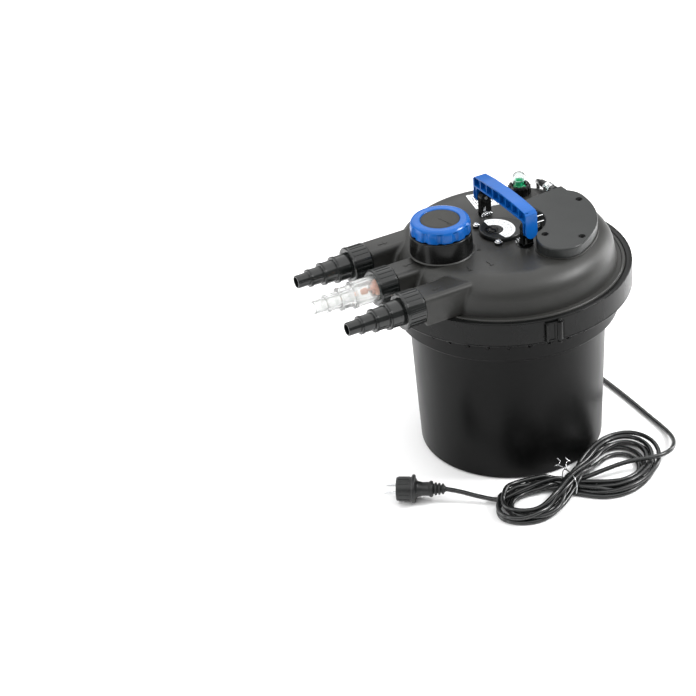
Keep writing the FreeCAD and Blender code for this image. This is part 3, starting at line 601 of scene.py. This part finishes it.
def make_band():
    bm = bmesh.new()
    start, stop = LATCH_ANGLE - LATCH_HALF, LATCH_ANGLE + LATCH_HALF
    step = 0.0012                 # the window's walls, almost square to the hoop
    angles = sorted([TAU * i / 200 - math.pi for i in range(200)]
                    + [start, start + step, stop - step, stop])

    def window(angle, radius, height):
        inside = start < angle < stop and 271 < height < 300.6
        return -0.7 if inside and radius > 188 else 0.0

    lathe(bm, [(187, 267, 0.6), (188.4, 266.9, 0.3), (189.4, 267.6, 0.8), (190, 268.6, 0.6),
               (189.5, 269.8, 0.5), (189.5, 270.9, 0), (189.5, 271.1, 0), (189.5, 285, 0),
               (189.5, 300.5, 0), (189.5, 300.7, 0), (189.6, 304.6, 1.5), (185.5, 304.9, 1.2),
               (181.6, 304.4, 0.8), (180, 303.6, 0.8), (180, 300, 0.4), (187, 300, 0.6)],
          angles, ripple=window)
    stand_in("clamp_band", "band_hoop", bm, "band_black", "lid", "gloss_black", 0, 38)
    bm = bmesh.new()
    turn = Matrix.Rotation(LATCH_ANGLE, 4, "Z")
    bars = [((4.2, 19, 28.6), (190.2, -3.0, 285.8)), ((5.4, 3.6, 28.6), (192.0, -11.2, 285.8)),
            ((3.0, 4.0, 28.6), (192.0, 2.2, 285.8)), ((6.0, 20.5, 2.0), (190.6, -2.8, 300.1)),
            ((6.0, 20.5, 2.0), (190.6, -2.8, 271.9))]
    for size, centre in bars:
        slab(bm, size, centre, turn)
    pin = middle("latch_pin").xy
    lathe(bm, [(2.15, 271.3, 0.3), (4.7, 271.3, 0.8), (4.7, 300.3, 0.8), (2.15, 300.3, 0.3)], 40,
          where=moved(pin.x, pin.y))
    stand_in("latch_lever", "latch_catch", bm, "band_black", "latch", "gloss_black", 0.8, 38)
    bm = bmesh.new()
    lathe(bm, [(0, 266.2, 0), (3.3, 266.2, 0.8), (3.3, 268, 0.4), (2, 268, 0.2), (2, 303.6, 0.2),
               (3.1, 303.6, 0.4), (3.1, 305.2, 0.9), (0, 305.6, 0)], 32,
          where=moved(pin.x, pin.y))
    stand_in("latch_pin", "latch_rivet", bm, "band_black", "lid", "steel", 0, 40)


# ------------------------------------------------------------------ lid trim
def make_lid_trim():
    bm = bmesh.new()
    lathe(bm, [(173.2, 303.3, 0.2), (174.2, 304.7, 0.6), (176.4, 304.7, 0.6),
               (177.4, 303.3, 0.2)], 200)
    lathe(bm, [(46.4, LID_TOP - 1, 0.1), (47.6, LID_TOP - 1, 0.2), (49.2, LID_TOP - 0.2, 0.8),
               (47.6, LID_TOP + 1.6, 0.8), (46.4, LID_TOP + 1.6, 0.1)], 120,
          where=moved(KNOB.x, KNOB.y))
    marks = (((-70.8, -66.3), (-69.3, -83.4)), ((-100.9, -63.1), (-103.5, -78.9)),
             ((-52.9, -13.6), (-64.0, -35.1)), ((-58, 42), (-66, 58)), ((-30, 96), (-38, 108)))
    for (x0, y0), (x1, y1) in marks:
        run = Vector((x1 - x0, y1 - y0))
        turn = (Matrix.Translation(((x0 + x1) / 2, (y0 + y1) / 2, LID_TOP + 0.3))
                @ Matrix.Rotation(math.atan2(run.y, run.x), 4, "Z"))
        slab(bm, (run.length * 0.8, 2.4, 1.2), (0, 0, 0), turn)
        slab(bm, (2.4, 6.0, 1.2), (run.length * 0.36, 0, 0), turn)
    for side in (-1, 0, 1):
        y = middle(("outlet_nut", "clear_nut", "inlet_nut")[side + 1]).y
        bend = 1 if side else 0
        where = Matrix.Translation((DUCT_END + 27, y - 4 * bend, 350.15))
        prism(bm, [(-8, 0), (-2, 4.5), (-2, 1.6), (8, 1.6), (8, -1.6), (-2, -1.6), (-2, -4.5)],
              -0.5, 0.55, where @ Matrix.Rotation(math.pi if side > 0 else 0, 4, "Z"))
    for angle in (-0.35, -0.22, 0.9, 1.02, 2.1, 2.22):
        slab(bm, (5.6, 1.6, 1.7), (182.6, 0, 300.2), Matrix.Rotation(angle, 4, "Z"))
    finish_mesh("lid_trim", bm, "charcoal", "lid", "charcoal", 0.35, 38)


# ------------------------------------------------------------------ hose ports
def tail_profile(longer):
    """A stepped hose tail's outline, with two hose rings at the end of each step."""
    profile = [(13, 20, 0.4), (21, 20, 0.4), (21, 25, 0.6), (19.7, 25, 0.2)]
    reach = 32 + longer
    for radius, length, after in ((19.7, 23.9, 16.5), (16.5, 21.3, 12.8), (12.8, 21.4, 10.0)):
        end = reach + length
        profile += [(radius, end - 4.8, 0.2), (radius + 0.9, end - 4.5, 0.4),
                    (radius + 0.9, end - 3.1, 0.4), (radius - 0.1, end - 2.8, 0.2),
                    (radius - 0.1, end - 1.9, 0.2), (radius + 0.9, end - 1.6, 0.4),
                    (radius + 0.9, end - 0.3, 0.5), (radius - 0.4, end + 0.1, 0.3),
                    (after + 0.3, end + 0.1, 0.3), (after, end + 0.5, 0.2)]
        reach = end
    profile += [(10, reach + 17.8, 0.3), (9.3, reach + 18.7, 0.3), (7.7, reach + 18.7, 0.4),
                (7.5, reach + 17.5, 0.2), (7.5, 32 + longer + 24, 1.0), (13, 32 + longer + 18, 1)]
    return profile


def make_ports():
    for label in ("outlet", "clear", "inlet"):
        nut_node, tail_node = label + "_nut", label + "_tail"
        where = along_x(DUCT_END, middle(nut_node).y, middle(nut_node).z)
        bm = bmesh.new()
        lathe(bm, [(21.3, 0.5, 0.3), (25.8, 0.5, 0.6), (26.3, 1.6, 0.4), (26.3, 27.4, 0.3),
                   (27.9, 27.6, 0.7), (28.0, 30.6, 0.8), (26.8, 32, 0.6), (22.5, 32, 0.5),
                   (20.9, 31.2, 0.4), (20.1, 31.2, 0.2), (20.1, 25.5, 0.2), (21.3, 25.4, 0.2)],
              144)
        for turn in spins(NUT_RIBS):
            slab(bm, (1.9, 3.7, 24.6), (26.1, 0, 15.0), turn)
        bmesh.ops.transform(bm, matrix=where, verts=bm.verts)
        stand_in(nut_node, label + "_union_nut", bm, "grey_black", nut_node, "grey_black", 0.45,
                 38)
        bm = bmesh.new()
        clear = label == "clear"
        lathe(bm, tail_profile(12.5 if clear else 0), 112)
        stand_in(tail_node, label + "_hose_tail", bm, "milky" if clear else "grey_black", "lid",
                 "clear" if clear else "grey_black", 0, 40, where)
    bm = bmesh.new()
    where = along_x(DUCT_END, middle("flow_float").y, middle("flow_float").z)
    lathe(bm, [(0, 24, 0), (11.2, 24, 0.8), (11.9, 26, 0.8), (11.9, 29, 0.8), (11.2, 30.2, 0.8),
               (4, 30.2, 0.8), (3, 32, 0.8), (2, 36, 0.8), (1.8, 42, 0.8), (4.6, 43.5, 1.2),
               (4.9, 48, 1.5), (4.0, 53.4, 1.5), (0, 54, 0)], 64)
    for turn in spins(4):
        slab(bm, (7.2, 1.2, 5.0), (6.2, 0, 32.0), turn)
    stand_in("flow_float", "flow_flag", bm, "peach", "float", "red", 0, 40, where)


# ------------------------------------------------------------------ selector
def make_selector():
    centre = moved(KNOB.x, KNOB.y)
    bm = bmesh.new()

    def fluted(angle, radius, height):
        fade = min(1.0, max(0.0, (404.6 - height) / 2.4))
        dip = max(0.0, math.cos(KNOB_FLUTES * angle) - 0.25) / 0.75
        return -2.5 * dip ** 0.55 * fade if radius > 41.0 else 0.0

    lathe(bm, [(24.6, 404, 0.3), (24.6, 388, 0.3), (43.4, 388, 0.8), (44.6, 389.2, 0.5),
               (44.7, 393, 0), (44.7, 397, 0), (44.6, 400.6, 0.6), (44.3, 402.4, 0.6),
               (43.9, 403.8, 0.4), (43.4, 405.2, 1.2), (41.6, 407.6, 1.6), (38.5, 408.6, 1.6),
               (30.2, 408.3, 0.8), (29.2, 407.3, 0.4), (29.0, 405.5, 0.2)], KNOB_FLUTES * 26,
          where=centre, ripple=fluted)
    stand_in("selector_knob", "knob_ring", bm, "blue", "selector", "blue", 0, 42)
    bm = bmesh.new()
    lathe(bm, [(0, 408.3, 0), (25.8, 408.2, 1.0), (27.4, 407.5, 0.6), (28.8, 407.4, 0.4),
               (28.9, 405.6, 0.2), (0, 405.6, 0)], 120, where=centre)
    lathe(bm, [(0, 408.9, 0), (2.6, 408.8, 0.5), (3.4, 408.0, 0.2), (0, 408.0, 0)], 40,
          where=centre)
    aim = centre @ Matrix.Rotation(math.radians(-78), 4, "Z")
    prism(bm, [(3, -1.5), (25.5, -0.5), (25.5, 0.5), (3, 1.5)], 407.8, 408.75, aim)
    prism(bm, [(20, -4.2), (25.6, 0), (20, 4.2), (21.4, 0)], 407.8, 408.7, aim)
    stand_in("selector_inlay", "knob_inlay", bm, "inlay", "selector", "inlay", 0, 38)
    bm = bmesh.new()
    lathe(bm, [(8, 356, 0.2), (47, 356, 0.6), (46.9, 358, 0.6), (45.6, 386.4, 1.2),
               (44.4, 387.5, 0.6), (42, 387.5, 0.6), (42, 360, 0.5), (8, 360, 0.2)], 144,
          where=centre)
    stand_in("selector_turret", "turret_shell", bm, "turret_black", "lid", "charcoal", 0, 38)


# ------------------------------------------------------------------ squeeze handle and posts
def carved(solid, cutter):
    """A bmesh of one solid with another cut out of it."""
    pieces = []
    for source in (solid, cutter):
        bmesh.ops.recalc_face_normals(source, faces=source.faces)
        mesh = bpy.data.meshes.new("carving")
        source.to_mesh(mesh)
        source.free()
        piece = bpy.data.objects.new("carving", mesh)
        scene.collection.objects.link(piece)
        pieces.append(piece)
    cut = pieces[0].modifiers.new("cut", "BOOLEAN")
    cut.operation = "DIFFERENCE"
    cut.solver = "EXACT"
    cut.object = pieces[1]
    cut.use_self = True
    graph = bpy.context.evaluated_depsgraph_get()
    made = bmesh.new()
    made.from_mesh(bpy.data.meshes.new_from_object(pieces[0].evaluated_get(graph)))
    for piece in pieces:
        bpy.data.objects.remove(piece)
    return made


def make_handle():
    """The arch and its legs as one solid: windowed side, hollowed legs, half-round ends."""
    reach = high("handle").y
    pivot = middle("handle_pins")
    upright = Matrix(((0, 0, 1, pivot.x), (1, 0, 0, 0), (0, 1, 0, 0), (0, 0, 0, 1)))
    inner = reach - 9
    foot = pivot.z - 11
    arch = [(-reach, foot, 0), (-inner, foot, 0), (-inner, 396.4, 1.5),
            (-inner + 4, 399.4, 2.5), (0, 401.2, 60), (inner - 4, 399.4, 2.5),
            (inner, 396.4, 1.5), (inner, foot, 0), (reach, foot, 0),
            (reach, 412.5, 1.6), (reach - 5.0, 416.8, 2.4), (reach * 0.55, 419.7, 30),
            (0, 421.0, 60), (-reach * 0.55, 419.7, 30), (-reach + 5.0, 416.8, 2.4),
            (-reach, 412.5, 1.6)]
    bm = bmesh.new()
    wide = 9.8
    prism(bm, [tuple(p) for p in softened(arch)], -wide, wide, upright)
    cutter = bmesh.new()
    for i in range(8):
        left = -reach + 2.8 + i * 18.1
        low_edge = 403.2 if 0 < i < 7 else 401.8
        top_edge = 418.0 - 3.6 * (abs(left + 8.1) / reach) ** 2
        prism(cutter, [(left, low_edge), (left + 16.2, low_edge), (left + 16.2, top_edge),
                       (left, top_edge)], -12, -3.0, upright)
    for side in (-1, 1):
        slab(cutter, (9, 4.6, 18), (pivot.x - 8.5, side * (reach - 4.6), 390.0))
        round_end = circle(wide, 33, 0, foot + wide, math.pi, TAU)
        corner = ([(-12, foot + wide), (-wide, foot + wide)] + round_end[1:-1]
                  + [(wide, foot + wide), (12, foot + wide), (12, foot - 1), (-12, foot - 1)])
        stand = (Matrix.Translation((pivot.x, side * (reach - 4.5), 0))
                 @ Matrix.Rotation(math.pi / 2, 4, "X"))
        prism(cutter, corner, -6, 6, stand)
    arm = carved(bm, cutter)
    stand_in("handle", "handle_arch", arm, "blue", "handle", "blue", 0.7, 40)


def make_posts():
    pivot = middle("handle_pins")
    for node in ("right_post", "left_post"):
        y = middle(node).y
        bm = bmesh.new()
        lug = ([(-9, 356.5), (9, 356.5), (9, pivot.z)]
               + circle(9, 25, 0, pivot.z, 0, math.pi)[1:-1] + [(-9, pivot.z)])
        stand = (moved(pivot.x, y) @ Matrix.Rotation(math.pi / 2, 4, "X"))
        prism(bm, lug, -4.6, 4.6, stand)
        for face in (-1, 1):
            lathe(bm, [(3.2, 0, 0.2), (8.8, 0, 0.2), (8.8, 0.9, 0.4), (6.6, 1.1, 0.4),
                       (5.8, 0.6, 0.3), (3.2, 0.6, 0.2)], 48,
                  where=Matrix.Translation((pivot.x, y + 4.6 * face, pivot.z))
                  @ Matrix.Rotation(-math.pi / 2 * face, 4, "X"))
        slab(bm, (18, 11, 4.0), (pivot.x, y, 358.6))
        stand_in(node, node + "_lug", bm, "turret_black", "squeeze", "slate", 0.6, 38)
    bm = bmesh.new()
    for node in ("right_post", "left_post"):
        lathe(bm, [(5.7, LID_TOP - 0.5, 0.1), (10.5, LID_TOP - 0.5, 0.3),
                   (10.2, LID_TOP + 0.4, 0.2), (5.7, LID_TOP + 0.4, 0.1)], 64,
              where=Matrix.Translation((0, middle(node).y, 0)))
    finish_mesh("rod_collars", bm, "turret_black", "lid", "charcoal", 0, 40)


# ------------------------------------------------------------------ dial
def make_dial():
    plate_high = high("dial_plate")
    top = plate_high.z
    disc = Vector((plate_high.x - DISC_RADIUS, -3.0))
    bm = bmesh.new()
    lathe(bm, [(0, LID_TOP, 0), (DISC_RADIUS, LID_TOP, 0.3), (DISC_RADIUS, top - 2.4, 1.0),
               (32.6, top - 0.2, 1.0), (31.4, top, 0.5), (0, top, 0)], 128,
          where=moved(disc.x, disc.y))
    for ear_x, ear_y in DIAL_SCREWS:
        lathe(bm, [(0, LID_TOP, 0), (6, LID_TOP, 0.2), (6, LID_TOP + 4, 1.0),
                   (0, LID_TOP + 4, 0)], 40,
              where=moved(ear_x, ear_y))
    stand_in("dial_plate", "dial_disc", bm, "dial_grey", "lid", "slate", 0, 38)
    centre = moved(HUB.x, HUB.y)
    bm = bmesh.new()
    start, stop = math.radians(-88), math.radians(88)
    outline = []
    for spot in (circle(SCALE_RADIUS, 60, 0, 0, start, stop)
                 + circle(15, 40, 0, 0, stop, start)):
        out = Vector(spot) + HUB.xy - disc
        if out.length > SCALE_RADIUS:
            out *= SCALE_RADIUS / out.length
        outline.append(tuple(out + disc - HUB.xy))
    prism(bm, outline, top - 0.2, top + 0.75, centre)
    stand_in("dial_scale", "dial_band", bm, "white", "lid", "white", 0, 40)
    bm = bmesh.new()
    for i in range(33):
        angle = math.radians(-80 + i * 5)
        long_tick = i % 4 == 0
        length = 5.2 if long_tick else 3.0
        reach = 28.6 if abs(angle) < 1.2 else 27.0
        slab(bm, (length, 0.75 if long_tick else 0.45, 0.12), (reach - length / 2, 0, top + 0.78),
             centre @ Matrix.Rotation(angle, 4, "Z"))
    for radius in (18.4, 21.2):
        inner = circle(radius, 50, 0, 0, math.radians(-78), math.radians(78))
        outer = circle(radius + 0.4, 50, 0, 0, math.radians(78), math.radians(-78))
        prism(bm, inner + outer, top + 0.72, top + 0.84, centre)
    finish_mesh("dial_marks", bm, "print", "lid", "white", 0, 40)
    bm = bmesh.new()
    lathe(bm, [(0, top + 0.15, 0), (7.4, top + 0.15, 0.2), (7.4, top + 1.0, 0.6),
               (4.6, top + 2.4, 1.0), (0, top + 2.5, 0)], 56, where=centre)
    lathe(bm, [(9.0, top - 0.1, 0.1), (13.4, top - 0.1, 0.1), (13.2, top + 0.35, 0.2),
               (9.2, top + 0.35, 0.2)], 72, where=centre)
    prism(bm, [(-1.5, 5), (1.5, 5), (0.6, 13.4), (-0.6, 13.4)], top + 0.75, top + 1.7, centre)
    stand_in("dial_pointer", "dial_hand", bm, "turret_black", "pointer", "slate", 0, 38)
    bm = bmesh.new()
    for ear_x, ear_y in DIAL_SCREWS:
        where = moved(ear_x, ear_y)
        lathe(bm, [(0, LID_TOP + 4.1, 0), (5.4, LID_TOP + 4.1, 0.2), (5.4, LID_TOP + 4.6, 0.2),
                   (4.4, LID_TOP + 4.8, 0.2), (4.2, LID_TOP + 6.2, 0.8), (2.6, LID_TOP + 7.4, 0.8),
                   (1.3, LID_TOP + 7.5, 0.2), (1.2, LID_TOP + 6.4, 0.1), (0, LID_TOP + 6.4, 0)],
              48, where=where)
    stand_in("dial_screws", "dial_screw_heads", bm, "steel", "lid", "steel", 0, 40)


# ------------------------------------------------------------------ sight dome, label, prongs
def make_sight():
    where = moved(SIGHT.x, SIGHT.y)
    bottom = low("sight_cap").z
    bm = bmesh.new()
    lathe(bm, [(12.1, bottom, 0.2), (16.8, bottom, 0.4), (17.0, bottom + 1.5, 0.3),
               (16.6, bottom + 12.6, 0.8), (15.2, bottom + 15.6, 1.0), (13.4, bottom + 16, 0.6),
               (12.1, bottom + 15, 0.4)], 108, where=where)
    for turn in spins(CAP_RIBS):
        slab(bm, (1.6, 2.4, 11.4), (16.9, 0, bottom + 7.0), where @ turn)
    stand_in("sight_cap", "sight_collar", bm, "turret_black", "lid", "slate", 0.4, 38)
    bm = bmesh.new()
    lathe(bm, [(0, bottom + 36, 0), (4.6, bottom + 35.2, 3), (8.6, bottom + 32.6, 3),
               (10.9, bottom + 28.8, 3), (11.7, bottom + 24, 2), (11.7, bottom + 1, 0.4),
               (9.9, bottom + 1, 0.4), (9.9, bottom + 24, 2), (9.1, bottom + 28.2, 3),
               (7.1, bottom + 31.2, 3), (3.8, bottom + 33.4, 3), (0, bottom + 34.2, 0)], 80,
          where=where)
    stand_in("sight_glass", "sight_dome", bm, "dome_clear", "lid", "clear", 0, 60)
    bm = bmesh.new()
    lathe(bm, [(0, bottom, 0), (9.3, bottom, 0.4), (9.3, bottom + 13, 0.8),
               (7.2, bottom + 14.6, 0.6), (6.8, bottom + 21.4, 0.6), (4.6, bottom + 21.4, 0.3),
               (4.2, bottom + 19.6, 0.3), (0, bottom + 19.6, 0)], 64, where=where)
    stand_in("sight_insert", "sight_core", bm, "green", "lid", "green", 0, 38)
    bm = bmesh.new()
    lathe(bm, [(4.8, bottom + 21.3, 0.1), (7.2, bottom + 21.3, 0.3), (7.2, bottom + 22.8, 0.5),
               (5.0, bottom + 22.8, 0.4)], 64, where=where)
    finish_mesh("sight_rim", bm, "mint", "lid", "green", 0, 38)


def make_label():
    """The type plate: a frame, rows of plain bars for print, and one square mark."""
    centre = middle("type_plate")
    where = (Matrix.Translation((centre.x, centre.y, LID_TOP))
             @ Matrix.Rotation(LABEL_TURN, 4, "Z"))
    bm = bmesh.new()
    outline = softened([(-23.5, -19, 1.2), (23.5, -19, 1.2), (23.5, 19, 1.2), (-23.5, 19, 1.2)])
    prism(bm, [tuple(p) for p in outline], 0, 0.6, where)
    stand_in("type_plate", "label_plate", bm, "white", "lid", "white", 0, 40)
    bm = bmesh.new()
    for side in (-1, 1):
        slab(bm, (43, 0.8, 0.1), (0, 16.8 * side, 0.62), where)
        slab(bm, (0.8, 33.6, 0.1), (21.3 * side, 0, 0.62), where)
    shades = random.Random(5)
    for row in range(9):
        start = -19.0
        while start < 10:
            width = shades.uniform(3, 10)
            slab(bm, (width, 1.6, 0.1), (start + width / 2, 13.5 - row * 3.3, 0.62), where)
            start += width + 2.2
    slab(bm, (6, 6, 0.1), (16.5, -11, 0.62), where)
    finish_mesh("label_rules", bm, "print", "lid", "white", 0, 40)


def make_cover_screws():
    """Sunk screw heads with a deep round socket, in the UV cover's three holes; their near-black
    paint adds painted shade to the real shade of the sockets.
    """
    sunk = high("cover_screws").z - 0.6
    bm = bmesh.new()
    for x, y in COVER_SCREWS:
        lathe(bm, [(0, sunk - 14, 0), (2.9, sunk - 14, 0.3), (2.9, sunk - 0.6, 0.1),
                   (5.3, sunk - 0.6, 0.1), (5.3, sunk - 0.1, 0.1), (4.9, sunk, 0.2),
                   (4.3, sunk, 0.2), (2.4, sunk - 1.5, 0.1), (2.3, sunk - 4.5, 0.1),
                   (0, sunk - 4.5, 0)], 48, where=moved(x, y))
    stand_in("cover_screws", "cover_screw_heads", bm, "screw_black", "lid", "slate", 0, 40)


def make_prongs():
    """Two short rods on a rounded boss, in the bite of the UV cover."""
    bm = bmesh.new()
    for (x0, x1), y in (((38, 57), -17.5), ((33, 49), -33.5)):
        bend = [Vector((x0, y, 364)), Vector((x0 + 0.6, y, 369.2)), Vector((x0 + 6, y, 370.6)),
                Vector((x1, y, 370.2))]
        tube(bm, spline_points(bend, 10), 1.35, 12)
    finish_mesh("lamp_prongs", bm, "steel", "lid", "steel", 0, 50)
    bm = bmesh.new()
    lathe(bm, [(0, LID_TOP - 0.5, 0), (11.5, LID_TOP - 0.5, 0.4), (11.0, 363, 2.0),
               (8.0, 365, 1.5), (0, 365.2, 0)], 72, where=moved(38, -25))
    finish_mesh("lamp_boss", bm, "slate", "lid", "slate", 0, 40)


# ------------------------------------------------------------------ cord gland
def make_gland():
    start = Matrix.Translation((GLAND.x, 0, GLAND.z)) @ TILT_X
    bm = bmesh.new()
    lathe(bm, [(3.6, 40, 0.2), (8.4, 40, 0.3), (8.4, 47.8, 0.6), (7, 48, 0.3), (7, 55, 0.3),
               (3.6, 55, 0.2)], 64, where=start)
    stand_in("gland_body", "gland_seat", bm, "grey_black", "lid", "rubber", 0, 38)
    bm = bmesh.new()
    hexagon = circle(9.1, 6)
    prism(bm, hexagon, 48.3, 54.2, start)
    lathe(bm, [(5.7, 48.3, 0.2), (8.2, 48.3, 0.2), (8.3, 58.6, 0.5), (8.7, 59.4, 0.4),
               (8.4, 61.5, 0.8), (6.9, 65.0, 1.2), (5.7, 65.8, 0.4)], 72, where=start)
    stand_in("gland_nut", "gland_hex", bm, "steel", "lid", "steel", 0.5, 38)
    bm = bmesh.new()
    profile = [(3.6, 56.4, 0.1), (5.4, 56.4, 0.2), (5.4, 68, 0.3), (6.4, 68.6, 0.5),
               (6.2, 70.6, 0.5)]
    for i in range(3):
        at = 71.4 + i * 2.8
        profile += [(5.2 - i * 0.25, at, 0.3), (5.2 - i * 0.25, at + 0.9, 0.3),
                    (5.9 - i * 0.3, at + 1.2, 0.3), (5.8 - i * 0.3, at + 2.2, 0.3)]
    profile += [(4.6, 79.6, 0.3), (3.6, 79.9, 0.2)]
    lathe(bm, profile, 48, where=start)
    relief = stand_in("strain_relief", "strain_sleeve", bm, "rubber", "lid", "rubber", 0, 40)
    return relief


# ------------------------------------------------------------------ plug and tie
def plug_axes():
    heading = math.radians(146.5)
    base = Vector(CORD_PLUG[-1])
    return (Matrix.Translation(base) @ Matrix.Rotation(heading, 4, "Z")
            @ Matrix.Rotation(math.radians(90), 4, "Y"))


def make_plug():
    where = plug_axes()
    bm = bmesh.new()
    profile = [(0, -2, 0), (4.4, -2, 0.4)]
    for i in range(3):
        at = i * 5.4
        size = 8.0 + i * 0.8
        profile += [(size - 2.4, at, 0.4), (size, at + 0.6, 0.8), (size + 0.2, at + 3.4, 0.8),
                    (size - 2.2, at + 4.2, 0.4)]
    profile += [(8.6, 16.6, 0.5), (11.8, 17.2, 1.0), (12.6, 20.5, 1.5), (10.6, 23.2, 1.0),
                (10.4, 33, 2), (12.4, 40.5, 2), (17.0, 43.0, 1.0), (21.0, 43.8, 0.8),
                (21.8, 44.6, 0.8), (21.8, 47.4, 0.8), (20.9, 48.3, 0.6), (18.4, 48.6, 0.4),
                (18.2, 50, 0.4), (18.0, 71.2, 0.8), (17.2, 72, 0.6), (0, 72, 0)]
    lathe(bm, profile, 96)
    for turn in spins(PLUG_RIBS):
        slab(bm, (1.2, 2.6, 17), (18.1, 0, 60.5), turn)
    bmesh.ops.transform(bm, matrix=where, verts=bm.verts)
    body = stand_in("plug_body", "plug_shell", bm, "rubber", "root", "rubber", 0.35, 38)
    bm = bmesh.new()
    for side in (-1, 1):
        lathe(bm, [(0, 72, 0), (2.5, 72, 0.1), (2.4, 88.6, 0.3), (1.9, 90.4, 0.8), (0, 91, 0)],
              32, where=moved(0, 9.5 * side))
    bmesh.ops.transform(bm, matrix=where, verts=bm.verts)
    pins = stand_in("plug_pins", "plug_contacts", bm, "steel", "root", "steel", 0, 40)
    return body, pins


def make_tie():
    """A thin wire twisted round the hank's middle, with two curled ends."""
    y0, y1 = -213, -171
    ring = [(-16, y0 + 4, 1.6), (-16, y0, 6), (-15, y0, 20), (-15, y0 + 5, 29.4),
            (-14, -202, 30.6), (-13, -186, 30.4), (-14, -176, 28.6), (-14, y1, 20),
            (-15, y1, 6), (-15, y1 - 4, 1.6), (-15, -190, 1.2), (-16, y0 + 8, 1.2)]
    bm = bmesh.new()
    tube(bm, spline_points([Vector(p) for p in ring], 8), 0.9, 8)
    ends = ([(-14, -180, 29.4), (-13, -172, 30), (-19, -165, 31), (-26, -167, 34),
             (-23, -174, 38), (-16, -170, 40), (-17, -163, 42)],
            [(-13, -182, 29.8), (-10, -173, 32), (-4, -168, 34), (-1, -174, 37),
             (-6, -178, 40), (-7, -170, 43)])
    for points in ends:
        tube(bm, spline_points([Vector(p) for p in points], 8), 0.8, 8)
    tie = stand_in("wire_tie", "tie_wire", bm, "steel", "root", "steel", 0, 60)
    return tie


# ------------------------------------------------------------------ filter foams
def make_foams():
    """Open-cell foam rings: crowned, soft-edged, slightly uneven, squeezed by the plate."""
    paints = ("foam_blue", "foam_red", "foam_blue", "foam_dark")
    unevenness = random.Random(11)
    for i, paint in enumerate(paints, 1):
        node = "foam_ring_%d" % i
        base, top = low(node).z, high(node).z
        outer = high(node).x
        bm = bmesh.new()
        phase = [unevenness.uniform(0, TAU) for _ in range(6)]

        def lumpy(angle, radius, height):
            wave = (math.sin(3 * angle + phase[0]) + math.sin(5 * angle + phase[1]) * 0.7
                    + math.sin(11 * angle + phase[2] + height * 0.2) * 0.35)
            return 0.55 * wave - (0.9 if radius > 100 else -0.9)

        middle_height = (base + top) / 2
        lathe(bm, [(66, base + 0.5, 4), (outer - 1, base + 0.3, 5), (outer, middle_height, 12),
                   (outer - 1, top - 0.3, 5), (66, top - 0.3, 4), (65.6, middle_height, 12)],
              144, ripple=lumpy)
        ring = stand_in(node, "foam_pad_%d" % i, bm, paint, "lid", paint, 0, 60)
        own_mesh(ring)


# ------------------------------------------------------------------ CAD nodes that stay
# Every node that isn't named here is rubber.
NODES = {
    "charcoal": "lid",
    "turret_black": "selector_turret squeeze_plate foam_stop core_tube valve_rotor sight_cap "
                    "left_post right_post",
    "gloss_black": "bucket",
    "band_black": "clamp_band latch_lever",
    "slate": "uv_cover dial_plate dial_pointer",
    "grey_black": "outlet_nut clear_nut inlet_nut outlet_tail inlet_tail sleeve_nut lamp_socket",
    "blue": "selector_knob handle",
    "inlay": "selector_inlay",
    "milky": "clear_tail uvc_lamp",
    "clear": "sight_glass quartz_sleeve",
    "white": "dial_scale type_plate",
    "green": "sight_insert",
    "red": "flow_float",
    "screw_black": "cover_screws",
    "foam_blue": "foam_ring_1 foam_ring_3",
    "foam_red": "foam_ring_2",
    "foam_dark": "foam_ring_4",
    "steel": "latch_pin pull_rods handle_pins dial_screws catch_springs plug_pins wire_tie "
             "gland_nut selector_shaft ballast",
}


def paint_nodes():
    named = {node: paint for paint, nodes in NODES.items() for node in nodes.split()}
    for name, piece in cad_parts.items():
        paint = PAINTS[named.get(name, "rubber")]
        if not piece.data.materials:
            piece.data.materials.append(paint)
        for place in range(len(piece.material_slots)):
            piece.material_slots[place].material = paint


# ------------------------------------------------------------------ build
set_camera()
set_stage()
paint_nodes()
for make in (make_bucket, make_band, make_lid_trim, make_ports, make_selector, make_handle,
             make_posts, make_dial, make_sight, make_label, make_cover_screws, make_prongs,
             make_foams):
    make()
cord, cord_line, cord_length = make_cord()
pieces_on_cord = [*make_plug(), make_tie(), make_gland()]
